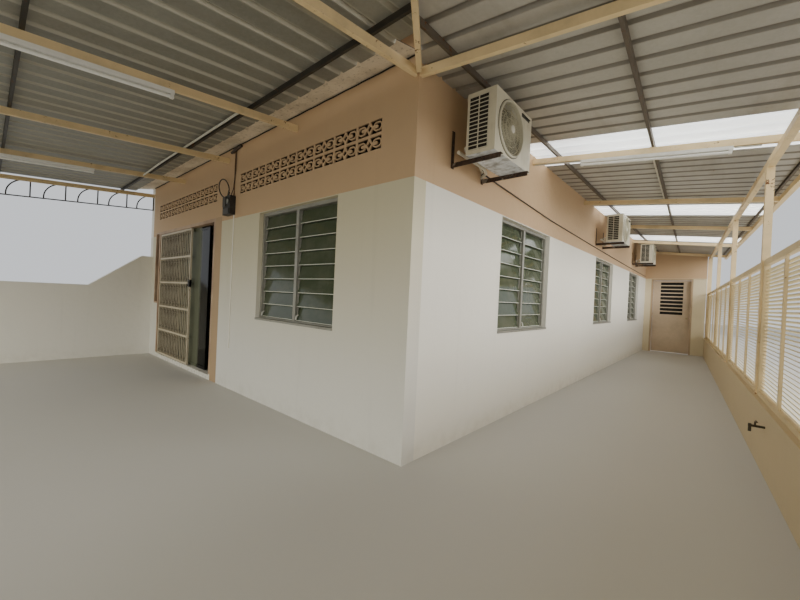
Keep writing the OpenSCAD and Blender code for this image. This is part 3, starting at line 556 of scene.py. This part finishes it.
class BUNGALOW_OT_windows(bpy.types.Operator):
    """Finishes the louvre windows and adds the levers that turn their blades"""
    bl_idname = "bungalow.windows"
    bl_label = "Windows"

    def execute(self, context):
        metal = bare_metal("window_metal", "a3a299", 0.42, 0.5)
        dress(metal, "front_window_frame", "side_window_frames", "rear_window_frames")
        dress(glass_finish("louvre_glass", "4a5440", 0.95, film="77776a", smear=0.3), "front_window_blades",
              "side_window_blades", "rear_window_blades")
        clips, levers, edges = Shape(), Shape(), Shape()
        for name, along, out in (("front_window_blades", (1, 0, 0), (0, -1, 0)),
                                 ("side_window_blades", (0, 1, 0), (1, 0, 0)),
                                 ("rear_window_blades", (1, 0, 0), (0, 1, 0))):
            low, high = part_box(name)
            out = Vector(out)
            face = out * (high if out.x + out.y > 0 else low).dot(out)
            for start in WINDOW_STARTS[name]:
                self.window(clips, levers, edges, Vector(along), out, face, start, low.z, high.z)
        clips.make("window_clips", metal, "window_aluminium")
        edges.make("blade_edges", plastic_finish("ground_edge", "e3e6d8", 0.3, grime=0.2), "louvre_glass")
        levers.make("window_levers", plastic_finish("lever_white", "e4e2da"), "window_aluminium")
        return {"FINISHED"}

    def window(self, clips, levers, edges, along, out, face, start, foot, top):
        """Clips at the ends of each blade, its pale ground edge, and one lever low down in each bay."""
        up = Vector((0, 0, 1))
        pitch = (top - foot + 0.0017) / BLADES
        for bay in (0, 1):
            left = start + bay * (BAY + MULLION)
            for i in range(BLADES):
                rim = face + up * (foot + i * pitch)
                edges.box(rim + along * (left + 0.001) - out * 0.004,
                          rim + along * (left + BAY - 0.001) + out * 0.0015 + up * 0.006)
                for end in (left + 0.004, left + BAY - 0.004):
                    p = face + along * end - out * 0.01 + up * (foot + (i + 0.5) * pitch)
                    clips.tube([p - up * 0.45 * pitch, p + up * 0.45 * pitch], 0.004, 6)
            p = face + along * (left + 0.03) + up * (foot + 0.06)
            levers.tube([p, p + out * 0.022 - up * 0.012, p + out * 0.028 - up * 0.05], 0.006, 8)


class BUNGALOW_OT_doorway(bpy.types.Operator):
    """Finishes the front doorway with its glass leaves and scrolled grilles"""
    bl_idname = "bungalow.doorway"
    bl_label = "Doorway"

    def execute(self, context):
        dress(self.frame_finish(), "door_frame")
        dress(painted_steel("grille_paint", "c6bba3", spread=0.6), "fixed_grille", "sliding_grille")
        dress(glass_finish("door_glass", "22211a", 0.93, film="4c4a3a", smear=0.4), "fixed_glass")
        dress(self.leaf_glass(), "sliding_glass_leaf")
        scroll_paint = painted_steel("scroll_paint", "5a503b", rust="463524", spread=0.56)
        bar = 0.03
        fields = 5
        for node, wide, tall, body in (("fixed_grille", 0.9, 2.063, HOUSE),
                                       ("sliding_grille", 1.4, 2.051, "sliding_grille")):
            low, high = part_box(node)
            foot = high.z - tall
            scrolls = Shape()
            columns = round((wide - 2 * bar) / 0.075)
            step = (wide - 2 * bar) / columns
            field = (tall - bar) / fields
            depth = (low.y + high.y) / 2
            for i in range(fields):
                z0 = foot + bar + i * field
                z1 = foot + (i + 1) * field
                for k in range(columns):
                    self.scroll(scrolls, low.x + bar + (k + 0.5) * step, depth, z0, z1,
                                0.45 * step, 1 if k % 2 else -1)
            scrolls.make(node + "_scrolls", scroll_paint, "grille_paint", body=body, smooth=60)
        self.lock(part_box("sliding_grille"))
        return {"FINISHED"}

    def leaf_glass(self):
        """Dusty glass with a black band by the leading stile: painted shade of a dark open gap into the
        house.
        """
        f = Finish("leaf_glass", roughness=0.08, IOR=1.5, Specular_IOR_Level=0.12, Alpha=0.96)
        # painted shade: a smooth black band that makes the leaf look open onto the dark house
        painted_gap_shade = (f.x + 0.06 * f.noise(2.5, 3)).span(-4.08, -3.98)
        dusty = f.mix(rgb("565b4a"), rgb("747866"), f.noise(4.5, 5, roughness=0.65))
        f.feed(Base_Color=f.mix(dusty, rgb("0b0a08"), painted_gap_shade), Roughness=0.3 - 0.2 * painted_gap_shade)
        return f

    def frame_finish(self):
        """Brown frame with a worn white sill."""
        f = Finish("frame_timber", roughness=0.55)
        patch = f.noise(3.0, 5)
        wood = f.mix(rgb("a98c73"), rgb("c3a88c"), patch.span(0.35, 0.65))
        wood = f.shade(wood, 0.9 + 0.15 * f.noise(30, 4, stretch=(6, 6, 0.4)))
        sill = f.mix(rgb("e6e4dc"), rgb("a39b8c"), 0.6 * f.noise(24, 5).span(0.5, 0.7))
        f.feed(Base_Color=f.mix(wood, sill, f.z < 0.075), Roughness=0.5 + 0.25 * patch)
        f.bump(f.noise(60, 4, stretch=(4, 4, 0.5)), 0.0006, 0.5)
        return f

    def scroll(self, shape, x, y, z0, z1, reach, hand):
        """An S-scroll of thin bar that ends in a curl at the top and at the bottom of its field."""
        mid = (z0 + z1) / 2
        top = []
        for k in range(13):
            t = k / 12
            r = reach * (0.25 + 0.7 * t)
            a = -0.5 * math.pi + 2.5 * math.pi * t
            top.append((hand * r * math.cos(a), (z1 - mid) - reach * 1.1 + r * math.sin(a)))
        curve = top + [(-u, -v) for u, v in reversed(top)]
        shape.tube([(x + u, y, mid + v) for u, v in curve], 0.0028, 4)

    def lock(self, box):
        """A black lock case on the leading stile of the sliding grille."""
        low, high = box
        x = high.x - 0.026
        case = Shape()
        case.box((x - 0.04, low.y - 0.004, 1.235), (x + 0.026, low.y + 0.029, 1.345))
        case.turned([(0.011, -0.008), (0.011, 0.0)], (x - 0.008, low.y - 0.004, 1.31), (0, 1, 0), 16)
        case.tube([(x - 0.02, low.y - 0.018, 1.28), (x - 0.02, low.y - 0.018, 1.25)], 0.006, 8)
        case.box((x - 0.026, low.y - 0.018, 1.252), (x - 0.014, low.y - 0.003, 1.262))
        case.make("grille_lock", plastic_finish("lock_black", "23211d", 0.4, dirt="544b40"), "meter_black",
                  body="sliding_grille")


class BUNGALOW_OT_passage(bpy.types.Operator):
    """Finishes the door at the passage's end, and adds its knob and the dark plate behind its louvres"""
    bl_idname = "bungalow.passage"
    bl_label = "Passage door"

    def execute(self, context):
        dress(painted_steel("passage_paint", "cdb89c", rust="7a5b45", spread=0.7), "passage_door")
        dress(painted_steel("passage_frame_paint", "b59c7c", rust="6a4c36", spread=0.68),
              "passage_door_frame")
        low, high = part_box("passage_door")
        x = high.x - 0.07
        knob = Shape()
        knob.turned([(0.024, 0), (0.024, -0.006), (0.009, -0.008), (0.009, -0.034), (0.022, -0.04),
                     (0.024, -0.052), (0.014, -0.06)], (x, 10.956, 1.0), (0, 1, 0), 20)
        plate = Shape()
        plate.box((low.x + 0.15, 10.9935, 1.07), (high.x - 0.15, 10.9955, 2.03))
        plate.make("passage_mesh", plastic_finish("mesh_dark", "14130f", 0.8, dirt="2c2820"), "meter_black",
                  body="passage_door")
        knob.make("passage_knob", bare_metal("knob_metal", "b5a988", 0.3), "tap_metal", body="passage_door")
        return {"FINISHED"}


class BUNGALOW_OT_awning(bpy.types.Operator):
    """Finishes the awning's steel and sheets and drives in the sheets' screws"""
    bl_idname = "bungalow.awning"
    bl_label = "Awning"

    def execute(self, context):
        dress(painted_steel("awning_paint", look().frame_paint, spread=0.6, grime=0.34), "awning_rafters",
              "awning_beams", "awning_posts")
        dress(painted_steel("dark_steel", "2c2822", spread=0.58, grime=0.3), "front_purlins",
              "party_truss")
        dress(painted_steel("brown_steel", "574e43", spread=0.58, grime=0.4), "side_purlins")
        # painted highlight on the front sheets' rib flanks, painted shade in the side sheets' rib hollows
        dress(sheet_finish("front_zinc", "9b9a90", "848379", 0, FRONT_RIB, "c3bfb0", 0.7), "front_sheets")
        dress(sheet_finish("side_zinc", "c0beb8", "adaba4", 1, SIDE_RIB, "7d776d", 0.7), "side_sheets")
        dress(clear_sheet_finish("clear_sheet"), "clear_sheets")
        dress(self.board_finish(), "wall_flashing")
        self.screws()
        # a dark bead along the wall over the flashing: painted shade of the gap between flashing and wall
        bead = Shape()
        bead.tube([(-6.1 + 0.1 * k, -0.005, 2.991 + 0.002 * math.sin(2.3 * k)) for k in range(62)], 0.006, 6)
        bead.make("flashing_gap_shade", plastic_finish("gap_shade_black", "2a251d", 0.8, dirt="4a4032"),
                  "board_paint")
        return {"FINISHED"}

    def board_finish(self):
        """Weathered off-white board whose cut end by the corner is darkened as painted shade."""
        f = Finish("board_paint", roughness=0.65)
        patch = f.noise(2.4, 5, roughness=0.65).span(0.42, 0.68)
        stain = f.noise(30, 5, stretch=(1, 1, 0.3), shift=2.0, roughness=0.7).span(0.56, 0.66)
        colour = f.mix(rgb("f2e7d2"), rgb("a3967d"), 0.44 * patch)
        colour = f.mix(colour, rgb("6d5f49"), 0.5 * stain)
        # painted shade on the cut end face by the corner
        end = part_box("wall_flashing")[1].x
        f.feed(Base_Color=f.mix(colour, rgb("2e271e"), f.x > end - 0.002), Roughness=0.6 + 0.2 * patch)
        f.bump(stain, 0.0008, 0.5)
        return f

    def screws(self):
        """Capped screws through the ribs above the purlins."""
        shape = Shape()
        cap = [(0.011, -0.001), (0.011, 0.003), (0.006, 0.005), (0.006, 0.01)]
        crown = SHEET_FOOT + 0.0285
        hip = SIDE_FALL / FRONT_FALL
        for i in range(4):
            y = -0.474 - 1.44 * i
            for k in range(1, 48):
                x = FRONT_RIB + RIB_PITCH * k
                if y < -hip * x - 0.05 and x < 2.5 - 0.06 * y:
                    shape.turned(cap, (x, y, crown + y * FRONT_FALL), (0, -FRONT_FALL, 1), 8)
        for k in range(-19, 49):
            y = SIDE_RIB + RIB_PITCH * k
            for x in (0.275, 1.25 - 0.0436 * y, 2.425 - 0.067 * y):
                if y > -hip * x + 0.06 and y < 10.95:
                    shape.turned(cap, (x, y, crown - x * SIDE_FALL), (SIDE_FALL, 0, 1), 8)
        shape.make("sheet_screws", bare_metal("screw_zinc", "a7a59c", 0.5), "sheet_metal")


class BUNGALOW_OT_fence(bpy.types.Operator):
    """Finishes the steel fence on its low wall"""
    bl_idname = "bungalow.fence"
    bl_label = "Fence"

    def execute(self, context):
        dress(painted_steel("rail_paint", "dcc79c"), "fence_rails")
        dress(painted_steel("slat_paint", "dccfa9", spread=0.66), "fence_slats")
        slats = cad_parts["fence_slats"]
        slats.modifiers.new("join", "WELD").merge_threshold = 0.00002
        swell = slats.modifiers.new("folded_edges", "DISPLACE")
        swell.mid_level = 0.0
        swell.strength = 0.0035
        return {"FINISHED"}


class BUNGALOW_OT_roof(bpy.types.Operator):
    """Lays the main roof's tiles course by course, with round tiles along the ridge and hips"""
    bl_idname = "bungalow.roof"
    bl_label = "Main roof"

    def execute(self, context):
        clay = tile_finish("clay_tile")
        low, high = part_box("roof_slopes")
        self.eave = high.x
        self.party = -low.x
        self.length = high.y - self.eave
        self.rise = math.radians(20)
        self.wall_top = low.z + self.eave * math.tan(self.rise)
        middle = self.length / 2
        e, r = self.eave, self.rise
        plans = (
            (((-self.party, -e), (e, -e), (-middle, middle), (-self.party, middle)),
             (-self.party, 0, self.wall_top), (1, 0, 0), (0, math.cos(r), math.sin(r))),
            (((e, self.length + e), (-self.party, self.length + e), (-self.party, middle),
              (-middle, middle)),
             (e, self.length, self.wall_top), (-1, 0, 0), (0, -math.cos(r), math.sin(r))),
            (((e, -e), (e, self.length + e), (-middle, middle)),
             (0, -e, self.wall_top), (0, 1, 0), (-math.cos(r), 0, math.sin(r))))
        made = [self.slope(i, clay, *plan) for i, plan in enumerate(plans)]
        self.caps(clay, middle)
        dress(painted_steel("eaves_paint", "b9b3a6", rust="57493a", spread=0.66), "eaves_boards")
        return {"FINISHED"}

    def slope(self, number, clay, plan, origin, along, up):
        """Tiles of one slope over a thin deck, cut to its plan."""
        origin, along, up = Vector(origin), Vector(along), Vector(up)
        off = along.cross(up)
        corners = [Vector((x, y, 0)) for x, y in plan]
        sides = []
        for i, a in enumerate(corners):
            edge = (corners[(i + 1) % len(corners)] - a).normalized()
            sides.append((a, edge.cross(Vector((0, 0, 1)))))
        shape = Shape()
        deck = 0.02
        base = Vector((origin.x, origin.y, 0))
        inwards = Vector((up.x, up.y, 0)).normalized()
        slant = math.tan(self.rise)
        under = [Vector((p.x, p.y, self.wall_top + (p - base).dot(inwards) * slant)) for p in corners]
        shape.skin([under, [p + Vector((0, 0, deck / math.cos(self.rise))) for p in under]])
        gauge = look().tile_gauge
        lap = 0.07
        wide = 0.3
        first = -(self.eave - 0.064 * math.sin(self.rise)) / math.cos(self.rise)
        last = (self.length / 2) / math.cos(self.rise)
        reach = max((p - base).dot(along) for p in corners)
        rows = math.ceil((last - first) / gauge)
        for row in range(rows):
            v = first + row * gauge
            for column in range(math.ceil(reach / wide)):
                u = column * wide
                centre = origin + along * (u + wide / 2) + up * (v + 0.2)
                if all((Vector((centre.x, centre.y, 0)) - p).dot(n) < wide for p, n in sides):
                    self.tile(shape, origin + off * deck, along, up, off, u, v, wide, gauge + lap)
        inset = 0.0005
        cuts = [(p - n * inset, n) for p, n in sides]
        nodes = ("roof_slopes",) if number == 0 else ()
        return shape.make("roof_tiles_%d" % (number + 1), clay, "roof_tile", *nodes, smooth=50, cuts=cuts)

    def tile(self, shape, origin, along, up, off, u, v, wide, long):
        """One tile with two rolls: its tail lies on the tile below."""
        steps = 9
        lift = 0.0135
        rings = []
        for end, rise in ((0.0, lift), (long, 0.0005)):
            under = []
            for k in range(steps + 1):
                t = k * (wide + 0.03) / steps
                h = 0.017 * (0.5 - 0.5 * math.cos(math.tau * t / 0.15))
                under.append((t, h + rise))
            over = [(t, h + 0.012) for t, h in reversed(under)]
            rings.append([origin + along * (u + t) + up * (v + end) + off * h for t, h in under + over])
        shape.skin(rings)

    def caps(self, clay, middle):
        """Round tiles lapped up the two hips and along the ridge."""
        shape = Shape()
        top = self.wall_top + middle * math.tan(self.rise) + 0.065 / math.cos(self.rise) - 0.115 / 3
        fall = math.tan(self.rise) / math.sqrt(2)
        apex = Vector((-middle, middle, top))
        for m in (-1, 1):
            way = Vector((1, m, -fall * math.sqrt(2))).normalized()
            long = (middle + self.eave) * math.sqrt(2) / way.xy.length - 0.125
            self.run(shape, apex + way * 0.06, way, long - 0.06, 0.112)
        self.run(shape, Vector((-self.party + 0.001, middle, top)), Vector((1, 0, 0)),
                 self.party - middle + 0.06, 0.118)
        shape.make("roof_ridge_tiles", clay, "roof_tile", "roof_caps", smooth=50)

    def run(self, shape, start, way, long, radius):
        """Half-round tiles along a line, each lapping over the one below it."""
        count = max(1, round(long / 0.38))
        each = long / count
        across = way.cross(Vector((0, 0, 1))).normalized()
        over = across.cross(way)
        arc = [math.pi * k / 12 for k in range(13)]
        for i in range(count):
            lap = 0.0 if i == count - 1 else 0.03
            rings = []
            for end, r in ((i * each, radius - 0.008), ((i + 1) * each + lap, radius)):
                outer = [(r, -0.035)] + [(r * math.cos(a), r * math.sin(a)) for a in arc] + [(-r, -0.035)]
                thin = (r - 0.014) / r
                inner = [(x * thin, y * thin if y > 0 else y) for x, y in reversed(outer)]
                rings.append([start + way * end + across * x + over * y for x, y in outer + inner])
            shape.skin(rings)


class BUNGALOW_OT_units(bpy.types.Operator):
    """Finishes the outdoor units and adds their coils, fans, guard wires, handles and pipes"""
    bl_idname = "bungalow.units"
    bl_label = "Outdoor units"

    def execute(self, context):
        dress(plastic_finish("unit_case", "d6d0ba", grime=0.42, under="d3d6da"), "outdoor_units")
        wire = plastic_finish("unit_guard", "c4bea4", grime=0.35)
        dress(wire, "unit_guards")
        dress(rusty_finish("rusty_steel"), "unit_brackets")
        low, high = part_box("outdoor_units")
        coils, fans, wires, rims, hubs, grips, pipes = (Shape() for _ in range(7))
        front = high.x
        for y in UNIT_STARTS:
            # a near-black box for the coil that fills the case: the coil and painted shade of the case's
            # dark inside
            coils.box((low.x + 0.016, y + 0.018, low.z + 0.016),
                      (front - 0.09, y + UNIT_WIDE - 0.02, high.z - 0.016))
            middle = Vector((front, y + 0.4 * UNIT_WIDE, (low.z + high.z) / 2))
            self.fan(fans, middle)
            self.guard(wires, rims, middle)
            # a thin near-black ring outside the raised rim: painted shadow of the rim's flank
            coils.turned([(0.2125, -0.001), (0.218, -0.001), (0.2175, 0.0015), (0.2125, 0.0015)], middle,
                         (1, 0, 0), 56, loop=True)
            hubs.turned([(0.031, 0.004), (0.031, 0.017), (0.024, 0.02), (0.01, 0.021)], middle,
                        (1, 0, 0), 28)
            self.side_grille(coils, rims, y, low, high)
            self.grip(grips, front, y + 0.44, high.z - 0.045)
            pipes.tube([(0.1, y + 0.02, low.z + 0.052), (0.1, y + 0.2, low.z + 0.05),
                        (0.1, y + 0.44, low.z + 0.046), (0.075, y + 0.52, low.z + 0.03),
                        (0.02, y + 0.56, low.z + 0.02), (-0.002, y + 0.57, low.z + 0.02)], 0.014, 10)
            pipes.tube([(0.182, y + 0.05, low.z + 0.085), (0.15, y + 0.04, low.z + 0.08),
                        (0.12, y + 0.1, low.z + 0.078), (0.1, y + 0.3, low.z + 0.076),
                        (0.02, y + 0.55, low.z + 0.06), (-0.002, y + 0.57, low.z + 0.058)], 0.009, 10)
        coils.make("unit_coils_and_shade", plastic_finish("coil_and_shade_black", "17150f", 0.7, dirt="2b2820"), "meter_black")
        fans.make("unit_fans", plastic_finish("fan_grey", "4b483f", 0.5), "unit_guard")
        wires.make("unit_guard_wires", wire, "unit_guard", smooth=60)
        rims.make("unit_rims", plastic_finish("rim_enamel", "cfcab6"), "unit_case")
        hubs.make("unit_hubs", plastic_finish("hub_white", "e2dfd2"), "unit_case")
        grips.make("unit_grips", plastic_finish("grip_recess_shade", "2c2a24", 0.6), "meter_black")
        pipes.make("unit_pipes", plastic_finish("pipe_foam", "d9d6c8", 0.7), "conduit_plastic")
        return {"FINISHED"}

    def guard(self, wires, rims, middle):
        """A raised ring round the fan, and a shallow dome of rings and swept wires inside it."""
        rims.turned([(0.197, -0.001), (0.213, -0.001), (0.212, 0.009), (0.207, 0.014), (0.199, 0.014)],
                    middle, (1, 0, 0), 56, loop=True)

        def rise(r):
            """How far the dome stands before the case at this radius."""
            return Vector((0.017 - 0.012 * (r / 0.2) ** 2, 0, 0))

        for k in range(15):
            r = 0.042 + 0.0108 * k
            wires.wire_ring(middle + rise(r), (1, 0, 0), r, 0.0016, 48)
        for k in range(44):
            path = []
            for i in range(6):
                r = 0.03 + 0.169 * i / 5
                a = math.tau * k / 44 + 0.55 * i / 5
                path.append(middle + rise(r) + r * Vector((0, math.cos(a), math.sin(a))))
            wires.tube(path, 0.0013, 4)

    def side_grille(self, dark, bars, y, low, high):
        """The near side's pressed louvres: bars over two columns of slots, backed by a plate of painted
        shade.
        """
        slots = 13
        x0, x1, x2, x3 = (low.x + t for t in (0.02, 0.096, 0.104, 0.18))
        foot, top = low.z + 0.034, high.z - 0.034
        # painted shade: a near-black plate behind the slots
        dark.box((x0, y - 0.0015, foot), (x3, y + 0.001, top))
        for a, b in ((x0 - 0.004, x0 + 0.002), (x1, x2), (x3 - 0.002, x3 + 0.004)):
            bars.box((a, y - 0.004, foot - 0.004), (b, y + 0.001, top + 0.004))
        pitch = (top - foot) / slots
        for i in range(slots + 1):
            z = foot + i * pitch
            bars.box((x0 - 0.004, y - 0.0038, z - 0.0032), (x3 + 0.004, y - 0.001, z + 0.0032))

    def fan(self, shape, middle):
        """A hub with three twisted blades behind the guard."""
        hub = middle - Vector((0.06, 0, 0))
        shape.turned([(0.045, -0.02), (0.05, 0.0), (0.045, 0.018), (0.02, 0.024)], hub, (1, 0, 0), 24)
        for blade in range(3):
            rings = []
            for k in range(6):
                r = 0.045 + 0.135 * k / 5
                a = math.tau * blade / 3 + 0.5 * (k / 5)
                half = 0.35 + 0.2 * k / 5
                ring = []
                for side, lift in ((-1, -0.014), (1, 0.014)):
                    t = a + side * half
                    ring.append(hub + Vector((lift, r * math.cos(t), r * math.sin(t))))
                thick = Vector((0.003, 0, 0))
                rings.append([ring[0], ring[1], ring[1] + thick, ring[0] + thick])
            shape.skin(rings)

    def grip(self, shape, front, y, z):
        """The hand hold by the fan side's top: a shallow tray with a lip over it, near-black as painted
        shade.
        """
        shape.box((front - 0.002, y, z - 0.011), (front + 0.0015, y + 0.15, z + 0.008))
        shape.box((front - 0.002, y - 0.004, z + 0.008), (front + 0.009, y + 0.154, z + 0.012))


class BUNGALOW_OT_services(bpy.types.Operator):
    """Finishes the meter box, lights and tap, and runs their conduits and cables"""
    bl_idname = "bungalow.services"
    bl_label = "Services"

    def execute(self, context):
        black = self.meter_finish()
        dress(black, "meter_box")
        dress(bare_metal("tap_metal", "4a4336", 0.5, 0.6, dull="2f2a22"), "garden_tap")
        self.lights()
        cables = Shape()
        cables.tube([(0.009, 0.98, 2.396), (0.009, 1.27, 2.378), (0.009, 2.76, 2.306), (0.009, 5.38, 2.25),
                     (0.009, 8.2, 2.2), (0.009, 10.72, 2.165)], 0.007, 8)
        loop = [(-2.985, -0.035, 2.382)]
        tilt = math.radians(-35)
        for k in range(25):
            a = math.radians(15 - 345 * k / 24)
            u, v = 0.155 * math.cos(a), 0.1 * math.sin(a)
            loop.append((-3.095 + u * math.cos(tilt) - v * math.sin(tilt), -0.035 + 0.015 * math.sin(a / 2),
                         2.505 + u * math.sin(tilt) + v * math.cos(tilt)))
        cables.tube(loop + [(-3.01, -0.035, 2.382)], 0.0075, 8)
        cables.tube([(-2.93, -0.03, 2.382), (-2.9, -0.014, 2.47), (-2.855, -0.012, 2.7),
                     (-2.85, -0.012, 2.95)], 0.005, 8)
        for x0, x1, r in ((-2.98, -2.72, 0.015), (-2.93, -2.78, 0.021)):
            cables.tube([(x0, -0.016, 2.935), ((x0 + x1) / 2, -0.022, 2.946), (x1, -0.016, 2.966)], r, 10)
        cables.make("wall_cables", plastic_finish("cable_brown", "3b3026", 0.5), "meter_black", smooth=60)
        self.meter()
        return {"FINISHED"}

    def meter_finish(self):
        """Black case, with the pipe under it in the wall's paint and the cable over it brown."""
        f = Finish("meter_black", roughness=0.38)
        dust = f.noise(9, 4, roughness=0.6)
        case = f.mix(rgb("26241f"), rgb("6b6558"), 0.3 * dust.span(0.45, 0.72))
        pipes = f.mix(rgb(look().low_paint), rgb("6a4e33"), f.z > 2.2)
        f.feed(Base_Color=f.mix(pipes, case, (f.z > 2.149) * (f.z < 2.381)), Roughness=0.34 + 0.25 * dust)
        return f

    def lights(self):
        """Battens: a channel, two lamp holders and a tube, and the conduits that feed them."""
        bodies, tubes, pipes = Shape(), Shape(), Shape()
        front_out, side_out, side_y = 1.095, 0.52, 2.1325
        for x in (-1.5525, -4.6125):
            self.batten(bodies, tubes, Vector((x, -front_out, RAFTER_FOOT - front_out * FRONT_FALL)),
                        Vector((0, -1, -FRONT_FALL)).normalized())
        self.batten(bodies, tubes, Vector((side_out, side_y, RAFTER_FOOT - side_out * SIDE_FALL)),
                    Vector((1, 0, -SIDE_FALL)).normalized())
        thin, thick = 0.008, 0.011
        for ends in ((0.02, 0.53), (1.73, 1.9)):
            pipes.tube([(x, side_y, RAFTER_FOOT - thin - x * SIDE_FALL) for x in ends], thin, 8)
        above = 2.9 - 0.52 * FRONT_FALL
        pipes.tube([(-1.575, -0.575, above - 0.035), (-1.59, -0.53, above - 0.02), (-1.62, -0.52, above),
                    (-3.95, -0.52, above), (-4.1, -0.53, above - 0.015), (-4.3, -0.55, above - 0.045),
                    (-4.585, -0.55, above - 0.05)], thick, 8)
        route = [(1.225 - 0.0436 * y, y) for y in (2.155, 3.2, 4.22)]
        pipes.tube([(x, y, 2.902 - x * SIDE_FALL) for x, y in route], 0.009, 8)
        paint = plastic_finish("lamp_white", "edece6", 0.35, grime=0.15)
        bodies.make("batten_bodies", paint, "lamp_white", "light_battens")
        tubes.make("batten_tubes", plastic_finish("tube_white", "f7f7f2", 0.2, grime=0.05), "lamp_white")
        pipes.make("conduits", plastic_finish("conduit_white", "dedccf", 0.45), "conduit_plastic", smooth=60)

    def batten(self, bodies, tubes, start, way):
        """One batten 1.215 m long that hangs from start and runs along way."""
        across = way.cross(Vector((0, 0, 1))).normalized()
        down = way.cross(across).normalized()
        if down.z > 0:
            down = -down

        def bar(a, b, half, d0, d1):
            """A tapered bar from a to b along the batten, between two depths under it."""
            rings = []
            for t in (a, b):
                p = start + way * t
                rings.append([p + across * -half + down * d0, p + across * half + down * d0,
                              p + across * half * 0.8 + down * d1, p + across * -half * 0.8 + down * d1])
            bodies.skin(rings)

        bar(0.0, 1.215, 0.024, 0.0, 0.03)
        for t in (0.004, 1.187):
            bar(t, t + 0.024, 0.017, 0.03, 0.06)
        tubes.tube([start + way * 0.02 + down * 0.047, start + way * 1.195 + down * 0.047], 0.0127, 14)

    def meter(self):
        """Covers, a fuse carrier and a round dial window on the meter box."""
        shape = Shape()
        shape.box((-3.04, -0.079, 2.25), (-2.955, -0.069, 2.37))
        shape.turned([(0.038, -0.004), (0.038, 0.008), (0.031, 0.012)], (-2.9, -0.07, 2.31), (0, -1, 0), 28)
        shape.box((-3.03, -0.078, 2.16), (-2.87, -0.069, 2.225))
        shape.make("meter_covers", plastic_finish("cover_dark", "393630", 0.3, dirt="6f6a5c"), "meter_black")
        glass = Shape()
        glass.turned([(0.029, 0.008), (0.027, 0.0135)], (-2.9, -0.07, 2.31), (0, -1, 0), 28)
        glass.make("meter_dial", plastic_finish("dial_pale", "8e8f88", 0.12, grime=0.1), "door_glass")


class BUNGALOW_PT_panel(bpy.types.Panel):
    """Lists the steps that dress the bungalow"""
    bl_label = "Bungalow"
    bl_space_type = "VIEW_3D"
    bl_region_type = "UI"
    bl_category = "Bungalow"

    def draw(self, context):
        for step in STEPS:
            self.layout.operator(step.bl_idname)
        for name in BungalowLook.__annotations__:
            self.layout.prop(look(), name)


STEPS = (BUNGALOW_OT_stage, BUNGALOW_OT_walls, BUNGALOW_OT_windows, BUNGALOW_OT_doorway,
         BUNGALOW_OT_passage, BUNGALOW_OT_awning, BUNGALOW_OT_fence, BUNGALOW_OT_roof,
         BUNGALOW_OT_units, BUNGALOW_OT_services)
CLASSES = (BungalowLook,) + STEPS + (BUNGALOW_PT_panel,)


def register():
    for kind in CLASSES:
        bpy.utils.register_class(kind)
    bpy.types.Scene.bungalow_look = bpy.props.PointerProperty(type=BungalowLook)


def unregister():
    del bpy.types.Scene.bungalow_look
    for kind in reversed(CLASSES):
        bpy.utils.unregister_class(kind)


def main():
    """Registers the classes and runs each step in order."""
    register()
    for step in STEPS:
        group, name = step.bl_idname.split(".")
        getattr(getattr(bpy.ops, group), name)()


if __name__ == "__main__":
    main()
